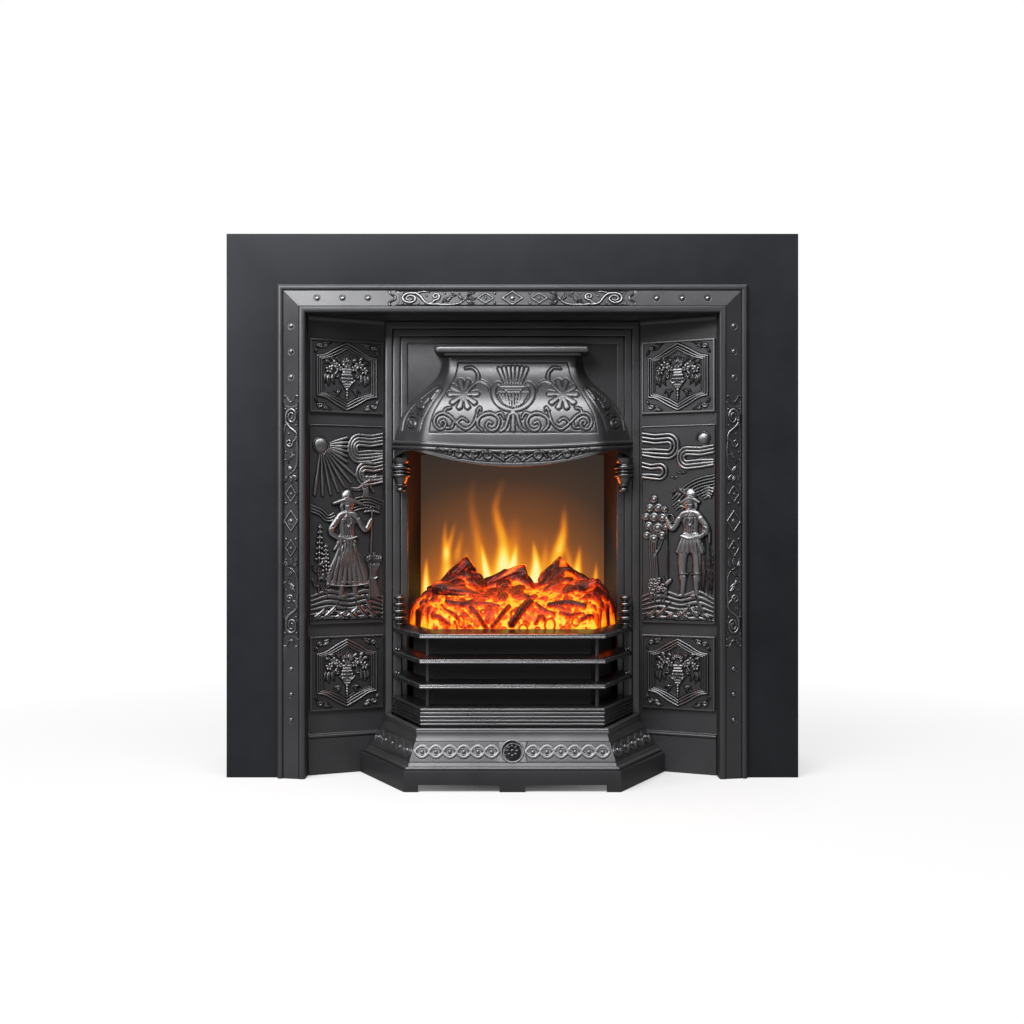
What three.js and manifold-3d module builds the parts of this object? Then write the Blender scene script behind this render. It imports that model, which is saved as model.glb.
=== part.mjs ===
// A cast iron fireplace: a plate with a raised moulding, splayed tiled sides, a canopy,
// a barred basket over a plinth, and an electric fire behind it.
//
// Millimetres, +Z up, the front faces -Y. A depth is counted from the face of the
// surround plate, + towards the chimney. The last lines move the whole so that the
// origin is the middle of its footprint, on the floor.

import * as THREE from 'three';
import { mergeVertices } from 'three/addons/utils/BufferGeometryUtils.js';
import Module from 'manifold-3d';

const wasm = await Module();
wasm.setup();

// ---- Clearances ----
const gap = 0.3;              // between pieces that touch
const slack = 3;              // between a moving piece and what it passes

// ---- Surround plate, and the opening in it ----
const plateHalf = 508;
const plateTop = 966;
const plateThick = 8;
const plateChamfer = 1.5;
const openHalf = 366;
const openTop = 824;
const revealDepth = 20;       // the casting's inner lip ends here
const lipThick = 6;

// ---- Moulding round the opening, measured outwards from the opening's edge ----
const mouldWide = 50;
const lipProud = 15;          // how far the inner edge stands out from the plate
const innerBead = 10;
const innerBeadHigh = 1.8;
const bandInnerProud = 14;    // the studded band slopes from here
const bandOuterProud = 8.5;   // to here
const outerBead = 9;
const outerBeadHigh = 3.5;
const mouldStep = 8;          // the moulding's outer edge stands this proud
const grooveWide = 1;
const grooveDeep = 1.5;
const studRadius = 4.2;
const studHigh = 2.6;
const studPitch = 45;
const studFromCorner = 71;    // the first stud of a top group, from the moulding's corner
const studJambDrop = 3;       // the groups at the top of the jambs start this much lower
const studFoot = 104;         // height of the lowest studs

// ---- Splayed side panels ----
const innerDepth = 78;
const panelThick = 6;
const panelTrim = 3;
const tileWide = 138;
const tileMargin = 1.5;       // from a tile's side to the panel's end
const panelLong = tileWide + 2 * tileMargin;
const recessFall = innerDepth - revealDepth - gap;
const recessRun = Math.sqrt((panelLong + panelTrim) ** 2 - recessFall ** 2);
const innerHalf = openHalf - recessRun;
const skirtTop = 66;
const skirtProud = 4;
const ridgeHigh = 6;
const ridgeProud = 6;
const coveSize = 9;

// ---- Tiles on the side panels ----
const tileThick = 5;
const tileRim = 5;            // the raised frame round a tile
const tileSunk = 2;           // the field lies this far below the frame
const lowerTile = [114, 249];
const pictureTile = [270, 630];
const upperTile = [651, 784];
const hexRib = 3;
const hexWide = 112;
const hexTall = 122;
const hexShoulder = 27;
const hexDip = 10;            // how far a hexagon's side sags in
const hexSteps = 5;

// ---- Inner frame ----
const reedCount = 3;
const reedWide = 14;
const reedStep = 1.8;
const reedGroove = 1.6;
const frameFace = innerDepth - 3;
const frameBack = innerDepth + 10;
const fireTop = 642;          // top of the fire opening, hidden by the canopy

// ---- Canopy ----
const hoodTop = 756;
const hoodTopDepth = 60;
const hoodRimHalf = innerHalf - 14;
const hoodRimArris = hoodRimHalf - 63;
const hoodFlare = 90.5;
const hoodTopHalf = hoodRimHalf - hoodFlare;
const hoodTopArris = hoodTopHalf - 16.5;
const hoodRimDepth = -12;
const hoodWall = 5;
const rimWallZ = 605;         // height of the rim at the wall, at the arris, in the middle
const rimArrisZ = 597;
const rimMidZ = 591;
const beadHigh = 8;
const beadOut = 4.2;
const valanceMidZ = 552;
const valanceArrisZ = 576;
const valanceSideZ = 582;
const valanceWallZ = 571;
const hoodRows = 10;
const hoodColumns = 8;

// ---- Ledge bar above the canopy ----
const ledgeHalf = hoodTopHalf + 11.5;
const ledgeHigh = 12;
const ledgeAbove = 4;         // from the canopy's top to the ledge bar
const ledgeFront = 32;

// ---- Corbel pendants ----
const corbelX = innerHalf - 31;
const corbelDepth = 60;
const corbelRadius = 16;
const corbelDrop = 63;

// ---- Basket front ----
const barFrontDepth = -80;
const barBackHalf = innerHalf - 15;
const barFrontHalf = barBackHalf - 60;
const barWide = 26;
const barNose = 8;
const barRise = 7;
const barHeights = [167, 210, 253];
const barNames = ['lower_bar', 'middle_bar', 'top_bar'];
const rodRadius = 3.5;
const rodInset = 19;
const postWide = 10;
const postThick = 6;
const finialRadius = 14.3;
const finialTall = 53;
const finialDepth = 59.5;
const finialFromEnd = 13;     // its middle, inwards from the top bar's end

// ---- Grate shelf ----
const shelfTop = 136;
const shelfThick = 7;
const shelfDepth = -90;
const shelfBackHalf = innerHalf - 12;
const shelfHalf = shelfBackHalf - 65;
const ribPitch = 6.3;
const ribCount = 5;
const ribOut = 2.6;
const shelfNeck = 3;

// ---- Ashpan cover (plinth) ----
const plinthTop = 103;
const plinthBackHalf = innerHalf - 3;
const plinthHalf = plinthBackHalf - 70.5;
const plinthDepth = -99.5;
const nosingHigh = 9;
const nosingOut = 2.2;
const slopeFoot = 41;
const slopeHalf = plinthHalf + 15;
const slopeDepth = plinthDepth - 20;
const slopeBackHalf = plinthBackHalf + 35;
const footHalf = slopeHalf + 6.5;
const footDepth = slopeDepth - 5.5;
const footBackHalf = slopeBackHalf + 10;
const kickTop = 35;
const plinthWall = 7;
const footSlot = [21.5, 158.5];
const footSlotHigh = 12;

// ---- Rosette knob of the air control ----
const knobZ = 66;
const knobRadius = 14.5;
const knobDish = 16.8;        // the recess that it stands in
const knobDishDeep = 3.5;
const spindleRadius = 4;
const runningGap = 0.4;
const shutterRadius = 26;
const shutterThick = 2;
const ventHoleRadius = 3;
const ventRing = 10.5;

// ---- Electric fire ----
const openingHalf = innerHalf - reedCount * reedWide;   // half the fire opening's width
const screenDepth = 190;
const screenHalf = openingHalf - 15;
const screenThick = 3;
const screenFoot = 200;
const housingHalf = openingHalf + 13;
const housingFoot = 60;
const housingTop = fireTop + 14;
const housingBack = screenDepth + 72;
const sheet = 2;
const coverHalf = openingHalf - 22;
const coverRise = 140;
const coverFoot = housingFoot + coverRise;
const coverTop = housingTop - 36;
const coverLap = 20;          // the cover laps over its opening by this
const coverSlots = 8;
const coverSlotPitch = 14;
const screwRadius = 2;
const screwHead = 2.4;
const baffleZ = fireTop - 57;
const cheekFoot = 240;
const maskDepth = screenDepth + 14;
const maskHalf = screenHalf - 12;
const maskFoot = 210;
const flameFoot = 300;        // where the flame-shaped windows start
const flameAxisDepth = screenDepth + 42;
const flameAxisZ = 290;
const flameShaft = 3;
const flameVane = 15;
const flameVanes = 12;
const flameMotorX = maskHalf - 9;
const flameMotorLong = 24;
const flameMotorRadius = 20;
const flameBearingX = 4 - maskHalf;
const bearingRadius = 7;
const bearingLong = 10;
const bracketThick = 4;
const fanAxisDepth = 146;
const fanAxisZ = fireTop - 22;
const fanRadius = 20;
const fanShaft = 3;
const fanInset = 22;          // the fan's mouth lies this far inside the housing's front
const fanHalf = openingHalf - 72;
const fanBlades = 12;
const fanMotorLong = 30;
const fanMotorRadius = 18;
const heaterThick = 8;
const heaterHigh = 40;
const heaterRibs = 16;
const glandDepth = housingBack - 42;
const glandZ = housingFoot + 60;
const glandBore = 4;
const glandLong = 18;

// ---- Fuel bed and logs ----
const caseFoot = shelfTop;
const caseTop = 254;
const caseWall = 2;
const caseInset = 4;          // the case stands this far inside the bed's edge
const bedFrontDepth = barFrontDepth + barWide + slack;
const bedMouthHalf = openingHalf - 6;
const bedBackHalf = screenHalf - 5;
const bedBackDepth = screenDepth - 6;
const bedLip = 271;
const bedCrest = 332;
const bedEdgeDrop = 10;       // the bed falls by this towards its sides
const bedColumns = 18;
const bedRows = 11;

// ---- Board with the lamps that light the fuel bed ----
const boardHalf = bedMouthHalf - 66;
const boardFrom = -30;
const boardTo = bedBackDepth - 34;
const boardThick = 1.6;

// ---- Fixing lugs behind the plate ----
const lugX = plateHalf - 38;
const lugHeights = [110, plateTop - 86];
const lugWide = 30;
const lugTall = 34;
const lugThick = 6;
const lugReach = 36;          // how far the flange with the screw hole stands back
const lugHole = 4.2;

// ================= Helpers =================

const finish = {
  iron: { color: 0x2c2d30, roughness: 0.5, metalness: 0.75 },
  relief: { color: 0x36373b, roughness: 0.42, metalness: 0.8 },
  steel: { color: 0x141416, roughness: 0.7, metalness: 0.4 },
  bright: { color: 0x9a9ca0, roughness: 0.35, metalness: 0.9 },
  ember: { color: 0xd0380c, roughness: 0.8, metalness: 0 },
  log: { color: 0x6b2a1a, roughness: 0.85, metalness: 0 },
  screen: { color: 0x54423a, roughness: 0.3, metalness: 0 },
  board: { color: 0xd8d8d2, roughness: 0.6, metalness: 0 },
  plastic: { color: 0x1a1a1c, roughness: 0.6, metalness: 0 },
};

const fireplace = new THREE.Group();

function place(name, shape, look, parent = fireplace) {
  const mesh = new THREE.Mesh(geometryOf(shape), new THREE.MeshStandardMaterial(finish[look]));
  mesh.name = name;
  parent.add(mesh);
  return mesh;
}

// A closed three.js geometry as a solid that can be cut and joined
function solidOf(geometry) {
  const bare = geometry.clone();
  bare.deleteAttribute('normal');
  bare.deleteAttribute('uv');
  const merged = mergeVertices(bare, 1e-4);
  return new wasm.Manifold(new wasm.Mesh({
    numProp: 3,
    vertProperties: new Float32Array(merged.attributes.position.array),
    triVerts: new Uint32Array(merged.index.array),
  }));
}

function geometryOf(solid) {
  const mesh = solid.getMesh();
  const geometry = new THREE.BufferGeometry();
  const points = new Float32Array(mesh.numVert * 3);
  for (let i = 0; i < mesh.numVert; i += 1) {
    for (let k = 0; k < 3; k += 1) points[i * 3 + k] = mesh.vertProperties[i * mesh.numProp + k];
  }
  geometry.setAttribute('position', new THREE.BufferAttribute(points, 3));
  geometry.setIndex(new THREE.BufferAttribute(new Uint32Array(mesh.triVerts), 1));
  return geometry;
}

const joined = (solids) => solids.reduce((sum, one) => sum.add(one));
const cutBy = (solid, tools) => tools.reduce((left, tool) => left.subtract(tool), solid);

// A block between two corners
function block(low, high) {
  const size = high.map((value, k) => value - low[k]);
  const box = new THREE.BoxGeometry(...size);
  box.translate(...low.map((value, k) => value + size[k] / 2));
  return solidOf(box);
}

// A cylinder along an axis ('x', 'y' or 'z'), from a start point
function rod(axis, start, length, radius, sides = 20) {
  const cylinder = new THREE.CylinderGeometry(radius, radius, length, sides);
  cylinder.translate(0, length / 2, 0);
  if (axis === 'x') cylinder.rotateZ(-Math.PI / 2);
  if (axis === 'z') cylinder.rotateX(Math.PI / 2);
  cylinder.translate(...start);
  return solidOf(cylinder);
}

// A turned shape from [radius, height] pairs, standing along +Z
function turned(profile, sides = 24) {
  const outline = profile.map(([radius, z]) => new THREE.Vector2(radius, z));
  const lathe = new THREE.LatheGeometry(outline, sides);
  lathe.rotateX(Math.PI / 2);
  return outward(lathe);
}

// An upright prism over a plan outline
function prism(plan, low, high) {
  const shape = new THREE.Shape(plan.map(([x, y]) => new THREE.Vector2(x, y)));
  const geometry = new THREE.ExtrudeGeometry(shape, { depth: high - low, bevelEnabled: false });
  geometry.translate(0, 0, low);
  return solidOf(geometry);
}

// A flat outline in X and Z with holes, given a thickness towards +Y
function sheetOf(outline, holes, front, thick) {
  const path = (points) => points.map(([x, z]) => new THREE.Vector2(x, z));
  const edge = path(outline);
  const shape = new THREE.Shape(THREE.ShapeUtils.isClockWise(edge) ? edge.reverse() : edge);
  for (const hole of holes) shape.holes.push(new THREE.Path(path(hole)));
  const geometry = new THREE.ExtrudeGeometry(shape, { depth: thick, bevelEnabled: false });
  geometry.rotateX(Math.PI / 2);
  geometry.translate(0, front + thick, 0);
  return solidOf(geometry);
}

function outward(geometry) {
  const bare = geometry.clone();
  bare.deleteAttribute('normal');
  bare.deleteAttribute('uv');
  const merged = mergeVertices(bare, 1e-4);
  const index = merged.index.array;
  const kept = [];
  for (let i = 0; i < index.length; i += 3) {
    const [a, b, c] = [index[i], index[i + 1], index[i + 2]];
    if (a !== b && b !== c && c !== a) kept.push(a, b, c);
  }
  merged.setIndex(kept);
  if (volumeOf(merged) < 0) {
    const turnedRound = [];
    for (let i = 0; i < kept.length; i += 3) turnedRound.push(kept[i], kept[i + 2], kept[i + 1]);
    merged.setIndex(turnedRound);
  }
  return solidOf(merged);
}

function volumeOf(geometry) {
  const points = geometry.attributes.position;
  const corner = [0, 1, 2].map(() => new THREE.Vector3());
  let sum = 0;
  for (let i = 0; i < geometry.index.count; i += 3) {
    corner.forEach((p, k) => p.fromBufferAttribute(points, geometry.index.getX(i + k)));
    sum += corner[0].dot(corner[1].clone().cross(corner[2])) / 6;
  }
  return sum;
}

// A closed solid through outlines of equal length. `flat` names the two axes in which the
// first and last outline are filled, or is 'fan' to fill them from their middles.
function loft(rings, flat = ['x', 'y']) {
  const count = rings[0].length;
  const faces = [];
  for (let r = 0; r + 1 < rings.length; r += 1) {
    for (let i = 0; i < count; i += 1) {
      const a = r * count + i;
      const b = r * count + ((i + 1) % count);
      faces.push(a, b, b + count, a, b + count, a + count);
    }
  }
  const fill = (ring, start, same) => {
    const outline = ring.map((p) => new THREE.Vector2(p[flat[0]], p[flat[1]]));
    const way = Math.sign(THREE.ShapeUtils.area(outline)) * (same ? 1 : -1);
    for (const [a, b, c] of THREE.ShapeUtils.triangulateShape(outline, [])) {
      const turn = THREE.ShapeUtils.area([outline[a], outline[b], outline[c]]);
      if (Math.sign(turn) === way) faces.push(start + a, start + b, start + c);
      else faces.push(start + a, start + c, start + b);
    }
  };
  const points = rings.flat();
  const fan = (ring, start, same) => {
    const middle = ring.reduce((sum, p) => sum.add(p), new THREE.Vector3()).divideScalar(count);
    points.push(middle);
    for (let i = 0; i < count; i += 1) {
      const [a, b] = [start + i, start + ((i + 1) % count)];
      faces.push(same ? a : b, same ? b : a, points.length - 1);
    }
  };
  const close = flat === 'fan' ? fan : fill;
  close(rings[0], 0, false);
  close(rings[rings.length - 1], (rings.length - 1) * count, true);
  const geometry = new THREE.BufferGeometry().setFromPoints(points);
  geometry.setIndex(faces);
  return outward(geometry);
}

// Points of a rounded bead between two offsets, bulging by `high` from the line base to base
function bead(from, to, baseFrom, baseTo, high, steps = 4) {
  const points = [];
  for (let k = 0; k <= steps; k += 1) {
    const t = k / steps;
    const across = from + (to - from) * (1 - Math.cos(Math.PI * t)) / 2;
    const base = baseFrom + (baseTo - baseFrom) * (across - from) / (to - from);
    points.push([across, base - high * Math.sin(Math.PI * t)]);
  }
  return points;
}

// A profile of [outwards, depth] swept up one side of an opening, across and down the other,
// with mitred corners. A third number is the outward offset used above the opening.
function arch(profile, half, top, foot = 0) {
  const leg = (side) => profile.map(([out, depth]) =>
    new THREE.Vector3(side * (half + out), depth, foot));
  const corner = (side) => profile.map(([out, depth, above = out]) =>
    new THREE.Vector3(side * (half + out), depth, top + above));
  return loft([leg(-1), corner(-1), corner(1), leg(1)]);
}

// The four corners of a splayed plan, moved inwards: wall end, front, front, wall end
function splay(plan, inset = 0) {
  const run = new THREE.Vector2(plan.backHalf - plan.half, plan.back - plan.front);
  const along = run.length();
  const end = plan.backHalf - inset * along / run.y;
  const corner = plan.half - inset * (along - run.x) / run.y;
  const front = plan.front + inset;
  return [[-end, plan.back], [-corner, front], [corner, front], [end, plan.back]];
}

// ================= Front casting =================

const mouldProfile = (() => {
  const innerBeadEnd = 0.5 + innerBead;
  const bandStart = innerBeadEnd + grooveWide;
  const outerBeadStart = mouldWide - 1 - outerBead;
  const bandEnd = outerBeadStart - grooveWide;
  return [
    [0, revealDepth],
    [0, -lipProud],
    ...bead(0.5, innerBeadEnd, -lipProud, -lipProud, innerBeadHigh),
    [innerBeadEnd + grooveWide / 2, grooveDeep - bandInnerProud],
    [bandStart, -bandInnerProud],
    [bandEnd, -bandOuterProud],
    [bandEnd + grooveWide / 2, grooveDeep - bandOuterProud],
    ...bead(outerBeadStart, mouldWide - 1, -mouldStep, -mouldStep, outerBeadHigh),
    [mouldWide, 1 - mouldStep],
    [mouldWide, 0],
  ];
})();

function frontCasting() {
  const sideOut = plateHalf - openHalf;
  const topOut = plateTop - openTop;
  const edge = [
    [sideOut - plateChamfer, 0, topOut - plateChamfer],
    [sideOut, plateChamfer, topOut],
    [sideOut, plateThick, topOut],
    [lipThick, plateThick],
    [lipThick, revealDepth],
  ];
  return joined([arch([...mouldProfile, ...edge], openHalf, openTop), ...studs()]);
}

// Groups of three studs: at both ends of the top band and of each jamb
function studs() {
  const bandMid = mouldWide / 2;
  const bandProud = (bandInnerProud + bandOuterProud) / 2;
  const jamb = openHalf + bandMid;
  const rail = openTop + bandMid;
  const places = [];
  for (let k = 0; k < 3; k += 1) {
    const step = studFromCorner + studPitch * k;
    for (const side of [-1, 1]) {
      places.push([side * (openHalf + mouldWide - step), rail]);
      places.push([side * jamb, openTop + mouldWide - step - studJambDrop]);
      places.push([side * jamb, studFoot + studPitch * k]);
    }
  }
  return places.map(([x, z]) => {
    const dome = new THREE.SphereGeometry(studRadius, 8, 6);
    dome.scale(1, studHigh / studRadius, 1);
    dome.translate(x, -bandProud, z);
    return outward(dome);
  });
}

place('front_casting', frontCasting(), 'iron');

// ================= Recess: soffit, side panels, tiles =================

const panelTurn = Math.atan2(recessFall, recessRun);

// Depth of a side panel's face, where it stands out by `proud`, at a distance from the middle
const panelDepth = (x, proud) =>
  revealDepth + gap + (openHalf - x) * Math.tan(panelTurn) - proud / Math.cos(panelTurn);

place('soffit_plate', prism([
  [-openHalf, revealDepth + gap], [openHalf, revealDepth + gap],
  [innerHalf, frameBack], [-innerHalf, frameBack],
], openTop, openTop + lipThick), 'iron');

// One side: +X runs along the panel from its left end, its face looks towards -Y
function sideAssembly(side) {
  const group = new THREE.Group();
  const leftEnd = side < 0
    ? [-openHalf, revealDepth + gap]
    : [openHalf - panelLong * Math.cos(panelTurn),
      revealDepth + gap + panelLong * Math.sin(panelTurn)];
  group.position.set(leftEnd[0], leftEnd[1], 0);
  group.rotation.z = -side * panelTurn;
  fireplace.add(group);
  return group;
}

function sidePanel() {
  const top = openTop - gap;
  const face = [
    [panelThick, 0], [-skirtProud, 0], [-skirtProud, skirtTop],
    ...bead(skirtTop, skirtTop + ridgeHigh, -skirtProud, -1, ridgeProud - skirtProud)
      .slice(1).map(([z, depth]) => [depth, z]),
    [0, skirtTop + ridgeHigh + 1],
    [0, top - coveSize],
  ];
  for (let k = 1; k <= 4; k += 1) {
    const turn = (Math.PI / 2) * (k / 4);
    face.push([-coveSize * (1 - Math.cos(turn)), top - coveSize * (1 - Math.sin(turn))]);
  }
  face.push([panelThick, top]);
  const ends = [0, panelLong].map((x) => face.map(([depth, z]) => new THREE.Vector3(x, depth, z)));
  return loft(ends, ['y', 'z']);
}

// A tile blank with a raised rim and a sunk field. Its place is its lower left back corner.
function tileBlank(tall) {
  const outer = block([0, -tileThick, 0], [tileWide, 0, tall]);
  const ring = (edge, depth) => [
    new THREE.Vector3(edge, depth, edge), new THREE.Vector3(tileWide - edge, depth, edge),
    new THREE.Vector3(tileWide - edge, depth, tall - edge), new THREE.Vector3(edge, depth, tall - edge),
  ];
  const pocket = loft([
    ring(tileRim - 0.8, -tileThick - 1), ring(tileRim + 1.5, tileSunk - tileThick),
  ], ['x', 'z']);
  return outer.subtract(pocket);
}

// The hexagon rib of a flower tile: upright sides, and points that sag inwards above and below
function hexagonRib(tall) {
  const ring = (half, high) => {
    const points = [];
    const curve = (from, to) => {
      const sag = -Math.sign(to[1] + from[1]) * hexDip / 2;
      const middle = new THREE.Vector2((from[0] + to[0]) / 2, (from[1] + to[1]) / 2 + sag);
      const arc = new THREE.QuadraticBezierCurve(
        new THREE.Vector2(...from), middle, new THREE.Vector2(...to),
      );
      points.push(...arc.getPoints(hexSteps).slice(0, hexSteps));
    };
    const shoulder = high - hexShoulder;
    curve([-half, shoulder], [0, high]);
    curve([0, high], [half, shoulder]);
    points.push(new THREE.Vector2(half, shoulder));
    curve([half, -shoulder], [0, -high]);
    curve([0, -high], [-half, -shoulder]);
    points.push(new THREE.Vector2(-half, -shoulder));
    return points;
  };
  const outline = ring(hexWide / 2, hexTall / 2);
  const hole = ring(hexWide / 2 - hexRib, hexTall / 2 - hexRib * 1.15);
  const onTile = (p) => [p.x + tileWide / 2, p.y + tall / 2];
  return sheetOf(outline.map(onTile), [hole.map(onTile)], -tileThick, tileThick - 1);
}

function flowerTile(tall) {
  const boss = new THREE.SphereGeometry(1, 14, 8);
  boss.scale(0.17 * tileWide, tileThick - 1, 0.22 * tall);
  boss.translate(tileWide / 2, -1, tall / 2);
  const backed = outward(boss).intersect(block([0, -tileThick, 0], [tileWide, -0.5, tall]));
  return joined([tileBlank(tall), hexagonRib(tall), backed]);
}

// A picture tile: hills below, a standing mass in the middle and a low sun, as plain forms
function pictureTile3d(tall, side) {
  const lump = (x, z, wide, high, out) => {
    const ball = new THREE.SphereGeometry(1, 12, 6);
    ball.scale(wide, out, high);
    ball.translate(tileWide / 2 + side * x, tileSunk - tileThick + 0.4, z);
    return outward(ball).intersect(block(
      [tileRim, -tileThick, tileRim], [tileWide - tileRim, -0.5, tall - tileRim],
    ));
  };
  return joined([
    tileBlank(tall),
    lump(0, 0.12 * tall, 0.42 * tileWide, 0.08 * tall, tileSunk),
    lump(0.04 * tileWide, 0.42 * tall, 0.14 * tileWide, 0.23 * tall, tileSunk),
    lump(0.25 * tileWide, 0.83 * tall, 0.17 * tileWide, 0.07 * tall, tileSunk),
    lump(-0.19 * tileWide, 0.75 * tall, 0.25 * tileWide, 0.11 * tall, tileSunk),
  ]);
}

for (const side of [-1, 1]) {
  const name = side < 0 ? 'left' : 'right';
  const group = sideAssembly(side);
  place(`${name}_side_panel`, sidePanel(), 'iron', group);
  const tiles = [
    [`${name}_lower_tile`, lowerTile, flowerTile],
    [`${name}_picture_tile`, pictureTile, (tall) => pictureTile3d(tall, -side)],
    [`${name}_upper_tile`, upperTile, flowerTile],
  ];
  for (const [tileName, [low, high], make] of tiles) {
    const tile = place(tileName, make(high - low), 'relief', group);
    tile.position.set(tileMargin, -gap, low);
  }
}

// ================= Inner frame =================

const frameWide = reedCount * reedWide;
const frameTop = openTop - gap - frameWide;
const fieldFace = frameFace + reedStep * reedCount;

function innerFrame() {
  const face = [[0, frameBack]];
  for (let k = reedCount - 1; k >= 0; k -= 1) {
    const from = (reedCount - 1 - k) * reedWide;
    const depth = frameFace + k * reedStep;
    face.push([from + 0.01, depth + reedGroove]);
    face.push([from + 1, depth + 0.4], [from + 3, depth]);
    face.push([from + reedWide - 2.5, depth], [from + reedWide - 1, depth + 0.4]);
    face.push([from + reedWide - 0.3, depth + reedGroove]);
  }
  face.push([frameWide, frameFace + 2], [frameWide, frameBack]);
  const frame = arch(face, openingHalf, frameTop);
  const field = block(
    [-openingHalf - 1, fieldFace, fireTop], [openingHalf + 1, frameBack, frameTop + 1],
  );
  return frame.add(field);
}

const innerFrameSolid = innerFrame();
place('inner_frame', innerFrameSolid, 'iron');

// ================= Canopy =================

// The bell's outline: s runs 0 to 1 outwards while h runs 0 to 1 downwards
const bell = new THREE.CubicBezierCurve(
  new THREE.Vector2(0, 0), new THREE.Vector2(0.02, 0.45),
  new THREE.Vector2(0.72, 0.3), new THREE.Vector2(1, 1),
);

// Columns round the canopy. `wall` runs 0 to 1 from an arris along a side face to the wall;
// on the front face it is 0, and `x` runs -1 to 1 across.
const hoodStations = (() => {
  const list = [];
  for (const share of [1, 0.65, 0.3]) list.push({ wall: share, x: -1 });
  for (let k = 0; k <= hoodColumns; k += 1) list.push({ wall: 0, x: (2 * k) / hoodColumns - 1 });
  for (const share of [0.3, 0.65, 1]) list.push({ wall: share, x: 1 });
  return list;
})();

const mix = (a, b, t) => a + (b - a) * t;

function rimHeight({ wall, x }) {
  return wall > 0 ? mix(rimArrisZ, rimWallZ, wall) : mix(rimMidZ, rimArrisZ, x * x);
}

function valanceHeight({ wall, x }) {
  if (wall === 0) return mix(valanceMidZ, valanceArrisZ, x * x);
  if (wall < 0.5) return valanceSideZ;
  return mix(valanceSideZ, valanceWallZ, (wall - 0.3) / 0.7);
}

// One point of the canopy's skin, moved outwards by `out`
function hoodPoint(station, s, z, out) {
  const { wall, x } = station;
  const arris = mix(hoodTopArris, hoodRimArris, s);
  const depth = mix(hoodTopDepth, hoodRimDepth, s);
  const end = mix(hoodTopHalf, hoodRimHalf, s);
  const turn = Math.atan2(end - arris, fieldFace - depth);
  const corner = out * (1 - Math.sin(turn)) / Math.cos(turn);
  const endX = end + out / Math.cos(turn);
  const cornerX = arris + corner;
  if (wall === 0) return new THREE.Vector3(x * cornerX, depth - out, z);
  return new THREE.Vector3(
    Math.sign(x) * mix(cornerX, endX, wall), mix(depth - out, fieldFace - gap, wall), z,
  );
}

function hoodSkin(rows) {
  return rows.map(({ s, level, out }) =>
    hoodStations.map((station) => hoodPoint(station, s, level(station), out)));
}

function hood() {
  const rows = [];
  for (let k = 0; k <= hoodRows; k += 1) {
    const point = bell.getPoint(k / hoodRows);
    rows.push({ s: point.x, out: 0, level: (at) => mix(hoodTop, rimHeight(at), point.y) });
  }
  const inner = rows.map(({ s, level }) => ({ s, out: -hoodWall, level: (at) => level(at) - hoodWall }));
  const drop = (out, down) => rows.push({ s: 1, out, level: (at) => rimHeight(at) - down });
  const beadShape = [[0, 1.5], [2, beadOut], [beadHigh - 2.5, beadOut], [beadHigh - 0.6, 1.5]];
  for (const start of [0.5, beadHigh + 0.8]) {
    for (const [down, out] of beadShape) drop(out, start + down);
  }
  drop(0, 2 * beadHigh + 1);
  rows.push({ s: 1, out: 0, level: valanceHeight });
  inner.push({ s: 1, out: -hoodWall, level: () => valanceMidZ - 20 });
  const hollow = loft(hoodSkin(inner), 'fan').add(block(
    [-hoodTopHalf + hoodWall, fieldFace - 2, valanceMidZ - 20],
    [hoodTopHalf - hoodWall, fieldFace + 2, hoodTop - hoodWall],
  ));
  const skin = loft(hoodSkin(rows), 'fan').subtract(hollow);
  return skin.subtract(innerFrameSolid.translate([0, -gap, 0]));
}

place('hood', hood(), 'relief');

function ledgeBar() {
  const low = hoodTop + ledgeAbove;
  const nose = 4;
  const plan = [
    [-ledgeHalf, fieldFace - gap], [-ledgeHalf, ledgeFront + nose],
    [-ledgeHalf + nose, ledgeFront], [ledgeHalf - nose, ledgeFront],
    [ledgeHalf, ledgeFront + nose], [ledgeHalf, fieldFace - gap],
  ];
  const ring = (inset, z) => plan.map(([x, y]) => new THREE.Vector3(
    x - Math.sign(x) * inset, y > ledgeFront + nose ? y : y + inset, z,
  ));
  return loft([
    ring(3.5, low), ring(1, low + 1.5), ring(0, low + 4), ring(0, low + ledgeHigh - 4),
    ring(1, low + ledgeHigh - 1.5), ring(3.5, low + ledgeHigh),
  ]);
}

place('hood_ledge', ledgeBar(), 'relief');

// A corbel pendant, from its ball up to the canopy's side
function corbel() {
  const shares = [
    [0, 0], [0.36, 0.03], [0.46, 0.1], [0.3, 0.175], [0.58, 0.19], [0.58, 0.23], [0.48, 0.25],
    [0.78, 0.44], [1, 0.475], [0.96, 0.54], [0.72, 0.555], [0.88, 0.61], [0.74, 0.665],
    [0.98, 0.7], [0.98, 0.77], [0.7, 0.81], [0.7, 1], [0, 1],
  ];
  return turned(shares.map(([out, up]) => [corbelRadius * out, corbelDrop * up]), 16);
}

for (const side of [-1, 1]) {
  const foot = valanceWallZ - gap - corbelDrop;
  const wall = block(
    [-2 * corbelRadius, frameFace - gap - corbelDepth, -1],
    [2 * corbelRadius, 4 * corbelRadius, corbelDrop + 1],
  );
  const piece = place(side < 0 ? 'left_corbel' : 'right_corbel', corbel().subtract(wall), 'relief');
  piece.position.set(side * corbelX, corbelDepth, foot);
}

// ================= Basket front =================

const barPlan = {
  half: barFrontHalf, front: barFrontDepth, backHalf: barBackHalf, back: frameFace - gap,
};
const rodX = splay(barPlan, rodInset)[2][0];
const rodDepth = barFrontDepth + rodInset;
const postX = barBackHalf - postWide / 2 - 5;
const topBarZ = barHeights[barHeights.length - 1];

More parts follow.
